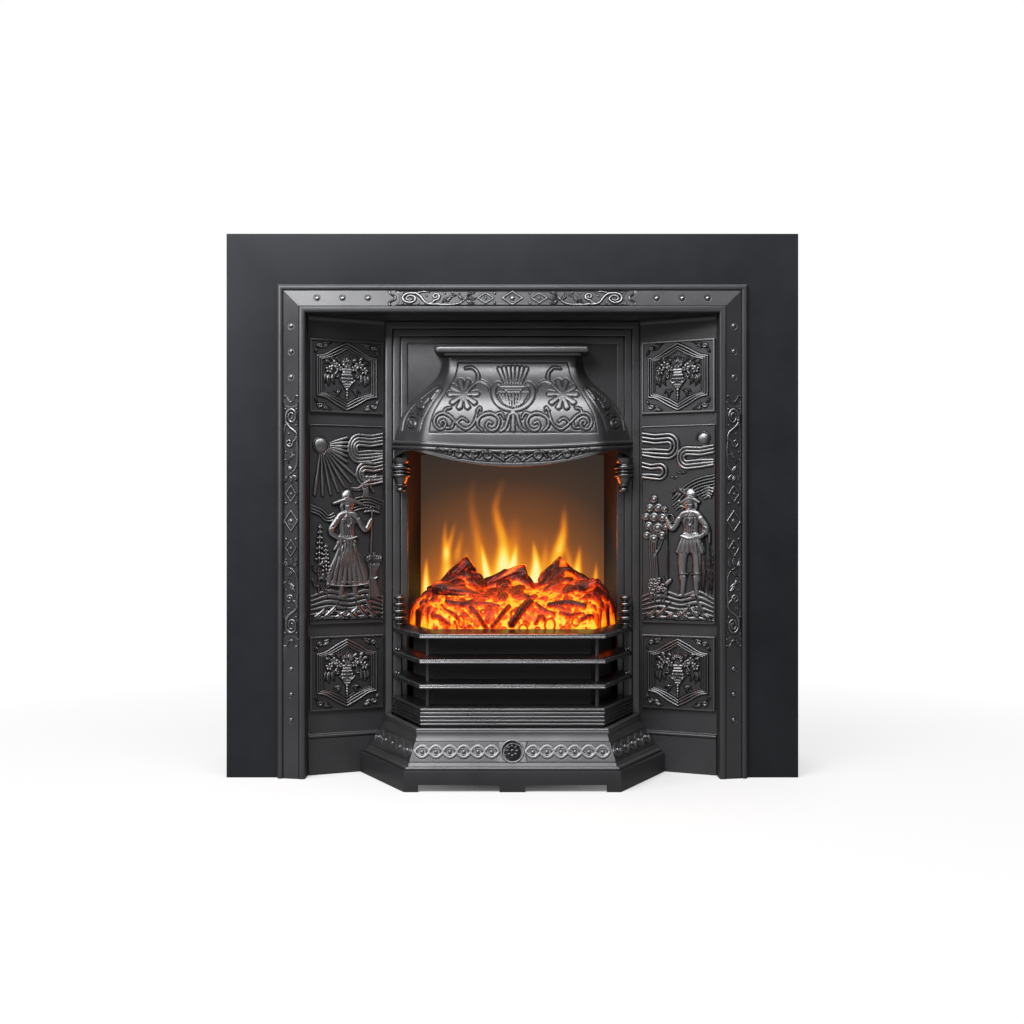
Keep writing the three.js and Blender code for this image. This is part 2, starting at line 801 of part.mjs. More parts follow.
function endPost(side, grow = 0) {
  const x = side * postX;
  const low = shelfTop + gap - grow;
  const back = frameFace - gap;
  return block(
    [x - postWide / 2 - grow, back - postThick - grow, low],
    [x + postWide / 2 + grow, back + grow, topBarZ - gap + grow],
  );
}

const roundRod = (side, grow = 0) => rod(
  'z', [side * rodX, rodDepth, shelfTop + gap], topBarZ - shelfTop + barNose / 2, rodRadius + grow, 14,
);

function bar(z) {
  const section = [
    [1, 0], [0, 1.3], [0, barNose / 2 - 1], [1, barNose / 2], [0, barNose / 2 + 1],
    [0, barNose - 1.3], [1.2, barNose], [barWide - 1, barNose + barRise],
    [barWide, barNose + barRise - 1], [barWide, barRise + 2.5], [barWide - 2, barRise + 1], [7, 0.6],
  ];
  const rings = [0, 1, 2, 3].map((corner) => section.map(([inset, up]) => {
    const [x, y] = splay(barPlan, inset)[corner];
    return new THREE.Vector3(x, y, z + up);
  }));
  return loft(rings, ['x', 'z']);
}

barHeights.forEach((z, k) => {
  const holes = [-1, 1].flatMap((side) => [roundRod(side, gap), endPost(side, gap)]);
  place(barNames[k], cutBy(bar(z), holes), 'iron');
});

for (const side of [-1, 1]) {
  const name = side < 0 ? 'left' : 'right';
  place(`${name}_bar_rod`, roundRod(side), 'iron');
  place(`${name}_end_post`, endPost(side), 'iron');
}

// A turned finial on each end of the top bar
function finial() {
  const r = finialRadius;
  const h = finialTall;
  return turned([
    [0, 0], [r * 0.7, 0], [r * 0.52, h * 0.08], [r * 0.94, h * 0.13], [r, h * 0.2],
    [r * 0.9, h * 0.27], [r * 0.52, h * 0.32], [r * 0.84, h * 0.37], [r * 0.92, h * 0.43],
    [r * 0.82, h * 0.49], [r * 0.5, h * 0.56], [r * 0.72, h * 0.63], [r * 0.8, h * 0.69],
    [r * 0.66, h * 0.75], [r * 0.42, h * 0.8], [r * 0.66, h * 0.88], [r * 0.5, h * 0.96], [0, h],
  ], 14);
}

const finialX = barBackHalf - finialFromEnd;
const finialFoot = topBarZ + barNose + barRise + 1;
for (const side of [-1, 1]) {
  // A flat-footed saddle fills the slope of the bar under the turned part
  const saddle = rod('z', [0, 0, -barRise - 2], barRise + 3, finialRadius * 0.42, 14);
  const seat = bar(0).translate([-side * finialX, -finialDepth, -barNose - barRise - 1 + gap]);
  const piece = place(
    side < 0 ? 'left_finial' : 'right_finial', cutBy(finial().add(saddle), [seat]), 'relief',
  );
  piece.position.set(side * finialX, finialDepth, finialFoot);
}

// ================= Grate shelf and ashpan cover =================

const ring3 = (corners, z) => corners.map(([x, y]) => new THREE.Vector3(x, y, z));

function grateShelf() {
  const plan = {
    half: shelfHalf, front: shelfDepth, backHalf: shelfBackHalf, back: frameFace - gap,
  };
  const foot = plinthTop + gap;
  const rings = [ring3(splay(plan, shelfNeck + 1), foot)];
  const ribFoot = shelfTop - ribCount * ribPitch;
  rings.push(ring3(splay(plan, shelfNeck), foot + 1));
  rings.push(ring3(splay(plan, shelfNeck), ribFoot));
  for (let k = 0; k < ribCount; k += 1) {
    const z = ribFoot + k * ribPitch;
    rings.push(ring3(splay(plan, ribOut * 0.25), z + ribPitch * 0.2));
    rings.push(ring3(splay(plan, 0), z + ribPitch * 0.5));
    rings.push(ring3(splay(plan, ribOut * 0.25), z + ribPitch * 0.8));
    if (k + 1 < ribCount) rings.push(ring3(splay(plan, ribOut), z + ribPitch));
  }
  rings.push(ring3(splay(plan, 1), shelfTop));
  const pocket = loft([
    ring3(splay(plan, shelfNeck + shelfThick), foot - 1),
    ring3(splay(plan, shelfNeck + shelfThick), shelfTop - shelfThick),
  ]);
  return loft(rings).subtract(pocket);
}

place('grate_shelf', grateShelf(), 'iron');

// A level of the plinth, whose ends follow the side panels
const plinthLevel = (half, front, backHalf, out = 0) => ({
  half: half + out,
  front: front - out,
  backHalf: backHalf + out,
  back: Math.min(frameFace - gap, panelDepth(backHalf + out, ridgeProud) - gap),
});

// The slope's plan at a height between its foot and the nosing
function slopeLevel(z, out = 0) {
  const t = (z - slopeFoot) / (plinthTop - nosingHigh - slopeFoot);
  return plinthLevel(
    mix(slopeHalf, plinthHalf, t), mix(slopeDepth, plinthDepth, t),
    mix(slopeBackHalf, plinthBackHalf, t), out,
  );
}

const knobTurn = Math.atan2(
  plinthDepth - slopeDepth, plinthTop - nosingHigh - slopeFoot,
);
const knobFace = slopeLevel(knobZ).front;

// Moves a solid that stands along +Z, with its foot at the origin, on to the knob's axis
function onKnobAxis(solid) {
  return solid.rotate([90, 0, 0]).rotate([-THREE.MathUtils.radToDeg(knobTurn), 0, 0])
    .translate([0, knobFace, knobZ]);
}

// The four air holes round the knob's axis
function ventHoles(from, length) {
  return [0, 1, 2, 3].map((k) => {
    const turn = (Math.PI / 2) * k;
    const at = [Math.cos(turn) * ventRing, Math.sin(turn) * ventRing, from];
    return rod('z', at, length, ventHoleRadius, 8);
  });
}

function ashpanCover() {
  const nosing = plinthTop - nosingHigh;
  const levels = [
    [0, plinthLevel(footHalf, footDepth, footBackHalf)],
    [kickTop, plinthLevel(footHalf, footDepth, footBackHalf)],
    [kickTop + 1.5, plinthLevel(footHalf, footDepth, footBackHalf, -1.6)],
    [slopeFoot - 3, plinthLevel(slopeHalf, slopeDepth, slopeBackHalf, 1.5)],
    [slopeFoot, plinthLevel(slopeHalf, slopeDepth, slopeBackHalf)],
    [nosing, plinthLevel(plinthHalf, plinthDepth, plinthBackHalf)],
    [nosing + 1.5, plinthLevel(plinthHalf, plinthDepth, plinthBackHalf, nosingOut)],
    [nosing + 4, plinthLevel(plinthHalf, plinthDepth, plinthBackHalf, nosingOut)],
    [nosing + 4.8, plinthLevel(plinthHalf, plinthDepth, plinthBackHalf, nosingOut - 1)],
    [nosing + 5.6, plinthLevel(plinthHalf, plinthDepth, plinthBackHalf, nosingOut - 0.3)],
    [plinthTop - 1, plinthLevel(plinthHalf, plinthDepth, plinthBackHalf, nosingOut - 0.6)],
    [plinthTop, plinthLevel(plinthHalf, plinthDepth, plinthBackHalf, nosingOut - 1.6)],
  ];
  const rings = levels.map(([z, plan]) =>
    ring3([...splay(plan), ...splay(plan, plinthWall).reverse()], z));
  const shell = loft(rings);
  const slots = [-1, 1].map((side) => {
    const [from, to] = footSlot.map((x) => side * x).sort((a, b) => a - b);
    return block([from, footDepth - 5, -5], [to, footDepth + plinthWall * 2, footSlotHigh]);
  });
  const dish = onKnobAxis(rod('z', [0, 0, -knobDishDeep], 20, knobDish, 22));
  const hole = onKnobAxis(rod('z', [0, 0, -20], 40, spindleRadius + runningGap, 16));
  const vents = ventHoles(-20, 40).map(onKnobAxis);
  return cutBy(shell, [...slots, dish, hole, ...vents]);
}

place('ashpan_cover', ashpanCover(), 'iron');

// The rosette: a domed knob with eight petals, turned on one spindle with its shutter
function ventKnob() {
  const r = knobRadius;
  const dome = turned([
    [0, -knobDishDeep + runningGap], [r * 0.9, -knobDishDeep + runningGap], [r, -1], [r * 0.97, 0.5],
    [r * 0.84, 2.2], [r * 0.5, 4], [0, 4.8],
  ], 24);
  const petals = [];
  for (let k = 0; k < 8; k += 1) {
    const turn = (Math.PI / 4) * k;
    const ball = new THREE.SphereGeometry(1, 7, 4);
    ball.scale(3.4, 2.4, 1.6);
    ball.rotateZ(turn);
    ball.translate(Math.cos(turn) * r * 0.62, Math.sin(turn) * r * 0.62, 3);
    petals.push(outward(ball));
  }
  const button = new THREE.SphereGeometry(2.8, 8, 6);
  button.translate(0, 0, 4.2);
  return joined([dome, ...petals, outward(button)]);
}

const backOfWall = -plinthWall - 1;
const spindleFoot = backOfWall - shutterThick - 2;
const knobBack = -knobDishDeep + runningGap;
place('vent_knob', onKnobAxis(ventKnob()), 'plastic');
place('vent_spindle', onKnobAxis(
  rod('z', [0, 0, spindleFoot], knobBack - gap - spindleFoot, spindleRadius, 16),
), 'bright');
place('vent_shutter', (() => {
  const disc = rod('z', [0, 0, backOfWall - shutterThick], shutterThick, shutterRadius, 20);
  const bore = rod('z', [0, 0, backOfWall - 5], 10, spindleRadius + gap, 16);
  return onKnobAxis(cutBy(disc, [...ventHoles(backOfWall - 5, 10), bore]));
})(), 'steel');

// ================= Fuel bed, logs and their case =================

// Half the width of the fuel bed at a depth
function bedHalf(depth) {
  const plan = splay(barPlan, barWide + slack);
  const [cornerX, cornerY] = plan[2];
  if (depth > frameFace) {
    return mix(bedMouthHalf, bedBackHalf, (depth - frameFace) / (bedBackDepth - frameFace));
  }
  return mix(cornerX, bedMouthHalf, (depth - cornerY) / (frameFace - cornerY));
}

const bedPlan = (inset) => {
  const front = bedFrontDepth + inset;
  const middle = frameFace;
  const back = bedBackDepth - inset;
  return [
    [-bedHalf(front) + inset, front], [bedHalf(front) - inset, front],
    [bedHalf(middle) - inset, middle], [bedHalf(back) - inset, back],
    [-bedHalf(back) + inset, back], [-bedHalf(middle) + inset, middle],
  ];
};

const caseOuter = prism(bedPlan(caseInset), caseFoot + gap, caseTop);
const caseInner = prism(bedPlan(caseInset + caseWall), caseFoot + gap + caseWall, caseTop + 5);
place('fuel_bed_case', caseOuter.subtract(caseInner), 'steel');

// Height of the heaped embers
function emberHeight(x, depth) {
  const t = (depth - bedFrontDepth) / (bedBackDepth - bedFrontDepth);
  const rise = Math.sin(Math.min(t * 1.5, 1) * Math.PI / 2);
  const lumps = 5 * Math.sin(x * 0.11 + 1) * Math.sin(depth * 0.13)
    + 3 * Math.sin(x * 0.23 + depth * 0.09);
  return bedLip + (bedCrest - bedLip) * rise + lumps * Math.min(t * 6, 1);
}

function fuelBed() {
  const low = caseTop + gap;
  const rings = [];
  for (let r = 0; r <= bedRows; r += 1) {
    const depth = mix(bedFrontDepth, bedBackDepth, r / bedRows);
    const half = bedHalf(depth);
    const ring = [new THREE.Vector3(-half, depth, low)];
    for (let c = 0; c <= bedColumns; c += 1) {
      const x = mix(-half, half, c / bedColumns);
      const drop = bedEdgeDrop * (1 - (1 - Math.abs(x / half)) ** 0.5);
      ring.push(new THREE.Vector3(x, depth, emberHeight(x, depth) - drop));
    }
    ring.push(new THREE.Vector3(half, depth, low));
    rings.push(ring);
  }
  return loft(rings, ['x', 'z']);
}

// Logs: from, to (x, depth, z), radius at each end
const logs = {
  front_left_log: { from: [-142, 34, 337], to: [-52, 18, 312], thick: [14, 12] },
  back_left_log: { from: [-132, 96, 328], to: [-74, 92, 378], thick: [13, 17] },
  back_middle_log: { from: [-50, 84, 338], to: [28, 80, 360], thick: [12, 16] },
  back_right_log: { from: [54, 92, 338], to: [98, 90, 382], thick: [12, 17] },
  front_right_log: { from: [62, 30, 316], to: [152, 42, 340], thick: [12, 13] },
};

// A rough log: a ring of uneven points at each step along its line
function logSolid({ from, to, thick }, grow = 0) {
  const [start, end] = [new THREE.Vector3(...from), new THREE.Vector3(...to)];
  const line = end.clone().sub(start).normalize();
  const side = new THREE.Vector3(0, 1, 0).cross(line).normalize();
  const up = line.clone().cross(side);
  const steps = 5;
  const corners = 9;
  const rings = [];
  for (let k = 0; k <= steps; k += 1) {
    const t = k / steps;
    const centre = start.clone().lerp(end, t);
    centre.addScaledVector(line, (k === 0 ? -grow : 0) + (k === steps ? grow : 0));
    const ring = [];
    for (let i = 0; i < corners; i += 1) {
      const turn = (2 * Math.PI * i) / corners;
      const rough = 1 + 0.08 * Math.sin(3 * turn + 2 * k) + 0.06 * Math.sin(2 * k + i);
      const radius = mix(thick[0], thick[1], t) * rough + grow;
      ring.push(centre.clone().addScaledVector(side, radius * Math.cos(turn))
        .addScaledVector(up, radius * Math.sin(turn)));
    }
    rings.push(ring);
  }
  return loft(rings, ['y', 'z']);
}

let bedSolid = fuelBed();
for (const log of Object.values(logs)) bedSolid = bedSolid.subtract(logSolid(log, gap));
place('fuel_bed', bedSolid, 'ember');
for (const [name, log] of Object.entries(logs)) place(name, logSolid(log), 'log');

place('light_board', (() => {
  const low = caseFoot + gap + caseWall + gap;
  const board = block([-boardHalf, boardFrom, low], [boardHalf, boardTo, low + boardThick]);
  const lamps = [];
  for (let k = 0; k < 7; k += 1) {
    for (const share of [0.17, 0.5, 0.83]) {
      const x = boardHalf * (k - 3) / 4;
      const y = mix(boardFrom, boardTo, share);
      lamps.push(block([x - 2.5, y - 2.5, low + boardThick / 2], [x + 2.5, y + 2.5, low + 2 * boardThick]));
    }
  }
  return joined([board, ...lamps]);
})(), 'board');

// ================= Electric fire =================

const housingFront = frameBack + gap;

function housing() {
  const outer = block([-housingHalf, housingFront, housingFoot], [housingHalf, housingBack, housingTop]);
  const hollow = block(
    [-housingHalf + sheet, housingFront - 1, housingFoot + sheet],
    [housingHalf - sheet, housingBack - sheet, housingTop - sheet],
  );
  const service = block(
    [-coverHalf + coverLap, housingBack - 10, coverFoot + coverLap],
    [coverHalf - coverLap, housingBack + 10, coverTop - coverLap],
  );
  const leadHole = rod('x', [housingHalf - 5, glandDepth, glandZ], 10, glandBore, 14);
  return cutBy(outer, [hollow, service, leadHole]);
}

place('fire_housing', housing(), 'steel');

const coverFront = housingBack + gap;
const coverBack = coverFront + sheet;
const coverScrews = [-1, 1].map((side) => [side * (coverHalf - coverLap / 2), coverTop - coverLap / 2]);

place('back_cover', (() => {
  const holes = coverScrews.map(([x, z]) => rod('y', [x, coverFront - 2, z], 8, screwRadius + gap, 10));
  for (let k = 1; k <= coverSlots; k += 1) {
    const z = coverTop - coverLap - coverSlotPitch * k;
    const half = coverHalf - 70;
    holes.push(block([-half, coverFront - 1, z], [half, coverBack + 1, z + 0.43 * coverSlotPitch]));
  }
  return cutBy(block([-coverHalf, coverFront, coverFoot], [coverHalf, coverBack, coverTop]), holes);
})(), 'steel');

coverScrews.forEach(([x, z], k) => {
  const shank = rod('y', [x, coverFront, z], sheet + 1, screwRadius, 10);
  const head = rod('y', [x, coverBack + gap, z], screwHead, 4, 12);
  place(`cover_screw_${k + 1}`, shank.add(head), 'bright');
});

// The screen that shows the flames, and the dark cheeks from the opening back to it
place('flame_screen', block(
  [-screenHalf, screenDepth, screenFoot], [screenHalf, screenDepth + screenThick, baffleZ - gap],
), 'screen');

for (const side of [-1, 1]) {
  const start = side * (openingHalf + 2);
  const end = side * (screenHalf + 0.5);
  place(side < 0 ? 'left_cheek' : 'right_cheek', prism([
    [start, housingFront + gap], [end, screenDepth - gap],
    [end + side * sheet, screenDepth - gap], [start + side * sheet, housingFront + gap],
  ], cheekFoot, baffleZ - gap), 'steel');
}

place('top_baffle', block(
  [-housingHalf + sheet + gap, housingFront + gap, baffleZ],
  [housingHalf - sheet - gap, housingBack - 12, baffleZ + sheet],
), 'steel');

// A sheet with flame-shaped windows between the spindle and the screen
function flameWindow(x, tall) {
  const at = (share) => flameFoot + tall * share;
  const shape = new THREE.Shape();
  shape.moveTo(x - 14, at(0));
  shape.quadraticCurveTo(x - 24, at(0.4), x - 4, at(0.6));
  shape.lineTo(x - 6, at(0.85));
  shape.quadraticCurveTo(x + 16, at(0.6), x + 9, at(0.33));
  shape.lineTo(x + 14, at(0));
  return shape.getPoints(5).map((p) => [p.x, p.y]);
}

place('flame_mask', (() => {
  const top = baffleZ - gap;
  const outline = [[-maskHalf, maskFoot], [maskHalf, maskFoot], [maskHalf, top], [-maskHalf, top]];
  const windows = [0.53, 0.84, 0.98, 0.74, 0.6].map((share, k) =>
    flameWindow(maskHalf * (0.35 * k - 0.7), share * (top - flameFoot)));
  return sheetOf(outline, windows, maskDepth, 1);
})(), 'bright');

// The turning spindle with mirror vanes, and the motor that drives it
place('flame_spindle', (() => {
  const from = flameBearingX + 3;
  const to = flameMotorX - gap;
  const vanePitch = (to - from) / (flameVanes + 0.5);
  const shaft = rod('x', [from, flameAxisDepth, flameAxisZ], to - from, flameShaft, 12);
  const vanes = [];
  for (let k = 0; k < flameVanes; k += 1) {
    const vane = new THREE.BoxGeometry(0.6 * vanePitch, 1, flameVane * 2);
    vane.rotateX(k * Math.PI / 3);
    vane.translate(from + (k + 0.75) * vanePitch, flameAxisDepth, flameAxisZ);
    vanes.push(solidOf(vane));
  }
  return joined([shaft, ...vanes]);
})(), 'bright');

const innerFloor = housingFoot + sheet + gap;
place('spindle_motor', joined([
  rod('x', [flameMotorX, flameAxisDepth, flameAxisZ], flameMotorLong, flameMotorRadius, 20),
  block(
    [flameMotorX, flameAxisDepth - 2 * bracketThick, innerFloor],
    [flameMotorX + bracketThick, flameAxisDepth + 2 * bracketThick, flameAxisZ],
  ),
]), 'plastic');

place('spindle_bearing', (() => {
  const [x, y, z] = [flameBearingX, flameAxisDepth, flameAxisZ];
  const post = block(
    [x - bracketThick - 1, y - 2 * bracketThick, innerFloor],
    [x - 1, y + 2 * bracketThick, z + bearingRadius + 3],
  );
  const cup = rod('x', [x - 3, y, z], bearingLong, bearingRadius, 16);
  return post.add(cup).subtract(rod('x', [x, y, z], bearingLong, flameShaft + runningGap, 14));
})(), 'plastic');

// Warm air: a fan in its scroll, a heater block and a grille that open behind the canopy
const fanFoot = baffleZ + sheet + gap;
const fanShellTop = housingTop - sheet - gap;
const fanBackDepth = fanAxisDepth + fanRadius + 10;
const fanFrontDepth = housingFront + gap + fanInset;
const fanWall = fanHalf + 12;
const fanMotorX = fanWall + sheet + 3;
place('fan_housing', (() => {
  const half = fanWall + sheet;
  const outer = block([-half, fanFrontDepth, fanFoot], [half, fanBackDepth, fanShellTop]);
  const hollow = block(
    [-fanWall, fanFrontDepth - 1, fanFoot + sheet],
    [fanWall, fanBackDepth - sheet, fanShellTop - sheet],
  );
  const shaftHole = rod('x', [fanHalf, fanAxisDepth, fanAxisZ], fanMotorLong, 2 * fanShaft, 16);
  return outer.subtract(hollow).subtract(shaftHole);
})(), 'steel');

place('fan_wheel', (() => {
  const parts = [
    rod('x', [-fanHalf, fanAxisDepth, fanAxisZ], 3, fanRadius, 24),
    rod('x', [fanHalf - 3, fanAxisDepth, fanAxisZ], 3, fanRadius, 24),
    rod('x', [-fanWall + gap, fanAxisDepth, fanAxisZ], fanWall + fanMotorX - 2 * gap, fanShaft, 12),
  ];
  for (let k = 0; k < fanBlades; k += 1) {
    const blade = new THREE.BoxGeometry(2 * fanHalf - 1, 1, 7);
    blade.rotateX(0.5);
    blade.translate(0, 0, fanRadius - 4);
    blade.rotateX((2 * Math.PI * k) / fanBlades);
    blade.translate(0, fanAxisDepth, fanAxisZ);
    parts.push(solidOf(blade));
  }
  return joined(parts);
})(), 'bright');

place('fan_motor', joined([
  rod('x', [fanMotorX, fanAxisDepth, fanAxisZ], fanMotorLong, fanMotorRadius, 20),
  block(
    [fanMotorX + 0.3 * fanMotorLong, fanAxisDepth - 0.8 * fanMotorRadius, fanFoot],
    [fanMotorX + 0.7 * fanMotorLong, fanAxisDepth + 0.8 * fanMotorRadius, fanAxisZ],
  ),
]), 'plastic');

place('heater_element', (() => {
  const front = fanFrontDepth - heaterThick - 2;
  const body = block([-fanHalf, front, fanFoot], [fanHalf, front + heaterThick, fanFoot + heaterHigh]);
  const pitch = 2 * fanHalf / (heaterRibs + 0.5);
  const slots = [];
  for (let k = 0; k < heaterRibs; k += 1) {
    const x = -fanHalf + (k + 0.5) * pitch;
    slots.push(block(
      [x, front - 1, fanFoot + 0.25 * heaterHigh],
      [x + pitch / 2, fanFrontDepth, fanFoot + 0.9 * heaterHigh],
    ));
  }
  return cutBy(body, slots);
})(), 'bright');

place('outlet_grille', (() => {
  const front = housingFront + gap;
  const half = fanHalf + 20;
  const pitch = heaterHigh / 4;
  const slots = [];
  for (let k = 1; k <= 4; k += 1) {
    const z = fanFoot + pitch * k;
    for (const x of [-fanHalf, 5]) {
      slots.push(block([x, front - 1, z], [x + fanHalf - 5, front + sheet + 1, z + 0.6 * pitch]));
    }
  }
  return cutBy(block([-half, front, fanFoot], [half, front + sheet, fireTop - slack]), slots);
})(), 'steel');

// The inlet for the mains lead, low on the housing's right side
place('cable_gland', (() => {
  const at = [housingHalf + gap, glandDepth, glandZ];
  const nut = rod('x', at, 0.4 * glandLong, 2.5 * glandBore, 6);
  const barrel = rod('x', at, glandLong, 1.75 * glandBore, 16);
  const bore = rod('x', [housingHalf - 2, glandDepth, glandZ], 2 * glandLong, glandBore, 14);
  return nut.add(barrel).subtract(bore);
})(), 'plastic');

// ================= Fixing lugs =================

// An angle bracket: a foot on the plate's back and a flange with a screw hole
function fixingLug() {
  const half = lugTall / 2;
  const foot = block([0, 0, -half], [lugWide, lugThick, half]);
  const flange = block([0, 0, -half], [lugThick, lugReach, half]);
  const hole = rod('x', [-5, (lugReach + lugThick) / 2, 0], lugThick + 10, lugHole, 16);
  return foot.add(flange).subtract(hole);
}

for (const side of [-1, 1]) {
  lugHeights.forEach((z, k) => {
    const name = `${side < 0 ? 'left' : 'right'}_${k ? 'upper' : 'lower'}_lug`;
    const lug = place(name, side < 0 ? fixingLug() : fixingLug().rotate([0, 180, 0]), 'iron');
    lug.position.set(side * lugX, plateThick + gap, z);
  });
}

// ================= Origin =================

const group = new THREE.Group();
fireplace.position.y = -(footDepth + coverBack + gap + screwHead) / 2;
group.add(fireplace);
export default group;
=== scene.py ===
"""Looks of a cast iron fireplace with an electric log fire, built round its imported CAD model.

Sizes are in millimetres: x runs to the right, y is the depth behind the face of the surround
plate (- towards the room), z is the height above the floor.
"""
import math

import bpy
import numpy as np
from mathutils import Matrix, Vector


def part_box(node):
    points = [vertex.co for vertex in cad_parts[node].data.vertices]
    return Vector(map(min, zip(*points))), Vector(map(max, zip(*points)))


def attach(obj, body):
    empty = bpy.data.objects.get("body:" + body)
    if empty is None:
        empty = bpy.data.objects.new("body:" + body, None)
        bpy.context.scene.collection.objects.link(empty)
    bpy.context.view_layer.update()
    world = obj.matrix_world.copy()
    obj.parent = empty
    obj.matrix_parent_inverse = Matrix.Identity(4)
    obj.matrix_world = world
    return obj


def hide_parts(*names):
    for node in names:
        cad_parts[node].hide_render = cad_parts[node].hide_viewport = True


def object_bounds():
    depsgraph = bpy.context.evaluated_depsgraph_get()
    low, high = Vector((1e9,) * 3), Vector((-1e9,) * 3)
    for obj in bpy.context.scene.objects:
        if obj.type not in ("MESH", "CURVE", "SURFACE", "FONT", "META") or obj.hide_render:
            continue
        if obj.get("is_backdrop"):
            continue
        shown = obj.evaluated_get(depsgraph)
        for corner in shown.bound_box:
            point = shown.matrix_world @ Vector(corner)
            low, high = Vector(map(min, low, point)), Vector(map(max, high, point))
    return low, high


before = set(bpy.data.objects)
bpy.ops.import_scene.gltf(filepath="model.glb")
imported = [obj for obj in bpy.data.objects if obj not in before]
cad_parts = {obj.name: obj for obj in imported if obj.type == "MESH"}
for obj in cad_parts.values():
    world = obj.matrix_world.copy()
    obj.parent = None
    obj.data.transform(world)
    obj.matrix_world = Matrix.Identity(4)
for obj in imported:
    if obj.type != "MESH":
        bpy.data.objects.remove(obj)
cad_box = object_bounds()

MM = 0.001
REVEAL_DEPTH = 20
PLATE_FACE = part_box("front_casting")[1].y / MM - REVEAL_DEPTH   # where depth 0 is in the frame
COARSE = 1.0                             # widens the grids while trying
SIDES = ((-1, "left"), (1, "right"))

# ---- Camera, where the photograph was taken from ----
CAMERA_DISTANCE = 2200
CAMERA_HEIGHT = 435.7
LENS = 43.55
SHIFT = (-0.0004, 0.0197)
PICTURE_SCALE = 1238.7        # a millimetre 1 mm from the camera, in pixels of the photograph
PICTURE_MIDDLE = (512.4, 532.2)

# ---- Surround ----
PLATE_HALF = 508
PLATE_THICK = 8
OPEN_HALF = 366
OPEN_TOP = 824
LIP_THICK = 6
MOULD_WIDE = 50
LIP_PROUD = 15
BAND = (11.5, 39)             # the band, outwards from the opening's edge
BAND_PROUD = (14, 8.5)        # how far its two edges stand out
HEAD_BAND_HALF = 377          # the head's band before its mitres
JAMB_BAND_TOP = 835           # where a jamb's band ends before its mitre
ORNAMENT_HALF = (207, 211)    # half the scrollwork on the head and on a jamb
JAMB_MIDDLE = 455.5
STUD_PITCH = 45
STUD_FROM_CORNER = (71, 74)   # from the moulding's corner, on the head and on a jamb
STUD_FOOT = 104

# ---- Recess ----
INNER_HALF = 234
INNER_DEPTH = 78
TILE_WIDE = 138
TILE_MARGIN = 1.5
PANEL_LONG = TILE_WIDE + 2 * TILE_MARGIN
PANEL_TURN = math.asin((INNER_DEPTH - REVEAL_DEPTH - 0.3) / (PANEL_LONG + 3))
SKIRT_TOP = 66
PANEL_THICK = 6
COVE = 9
TILE_BACK = 0.3
LOWER_TILE = (114, 249)
PICTURE_TILE = (270, 630)
UPPER_TILE = (651, 784)
FRAME_FACE = 75
FRAME_BACK = 88
FIELD_FACE = 80.4
FIRE_TOP = 642
REED_WIDE = 14
REED_STEP = 1.8
REEDS = 3

# ---- Canopy ----
HOOD_TOP = 756
HOOD_TOP_HALF = 129.5
HOOD_TOP_ARRIS = 113
HOOD_TOP_DEPTH = 60
HOOD_RIM_HALF = 220
HOOD_RIM_ARRIS = 157
HOOD_RIM_DEPTH = -12
HOOD_WALL = 5
RIM_Z = (591, 597, 605)       # the rim in the middle, at the arris and at the wall
VALANCE_Z = (552, 576, 582, 571)
RIM_DEEP = 17.4               # the two beads under the bell
BELL = ((0, 0), (0.02, 0.45), (0.72, 0.3), (1, 1))
LEDGE_HALF = 141
LEDGE_Z = (760, 772)
LEDGE_FRONT = 32
CORBEL_X = 203
CORBEL_DEPTH = 60
CORBEL_FOOT = 507.7

# ---- Basket, shelf and plinth: (half, front, half at the wall, wall) of their splayed plans ----
WALL = 74.7
BAR_PLAN = (159, -80, 219, WALL)
BAR_WIDE = 26
BAR_HEIGHTS = {"lower_bar": 167, "middle_bar": 210, "top_bar": 253}
FINIAL_X = 206
FINIAL_DEPTH = 59.5
FINIAL_FOOT = 269
FINIAL_RADIUS = 14.3
FINIAL_TALL = 53
SHELF_PLAN = (157, -90, 222, WALL)
SHELF_TOP = 136
RIB_PITCH = 6.3
RIB_COUNT = 5
PLINTH_TOP = 103
PLINTH = {"top": (160.5, -99.5, 231), "slope": (175.5, -119.5, 266), "foot": (182, -125, 276)}
SLOPE_FOOT = 41
NOSING_Z = 94
PLINTH_WALL = 7
KICK_TOP = 35
FOOT_SLOT = (21.5, 158.5)
FOOT_SLOT_HIGH = 12
KNOB_Z = 66
KNOB_RADIUS = 14.5
DISH_RADIUS = 16.8
DISH_DEEP = 3.5
SLOPE_LEAN = math.atan2(20, 53)

# ---- Fire ----
BED_DEPTHS = (-51, 184)
BED_LOW = 254.3
BED_HALF = 186                # half the width of the relief that is bent over the heap
PLAIN_TOP = 264               # the coals' front is plain below this
SCREEN_DEPTH = 190
EMBER_LIGHT = 1.0
FLAME_LIGHT = 1.0


# ================= Making pieces =================

def mix(a, b, t):
    return a + (b - a) * t


def smooth(t):
    t = np.clip(t, 0, 1)
    return t * t * (3 - 2 * t)


def deselect():
    bpy.ops.object.select_all(action="DESELECT")


def edit(*steps):
    """Runs edit-mode operators on the active piece, all of it selected."""
    bpy.ops.object.mode_set(mode="EDIT")
    bpy.ops.mesh.select_all(action="SELECT")
    for step in steps:
        step()
    bpy.ops.object.mode_set(mode="OBJECT")


def sew():
    bpy.ops.mesh.remove_doubles(threshold=2e-6)


def fill_ends():
    bpy.ops.mesh.fill_holes(sides=0)
    bpy.ops.mesh.select_all(action="SELECT")


def face_outwards():
    bpy.ops.mesh.normals_make_consistent(inside=False)


def select_only(piece):
    deselect()
    piece.select_set(True)
    bpy.context.view_layer.objects.active = piece


def named(name):
    piece = bpy.context.object
    piece.name = name
    piece.data.name = name
    return piece


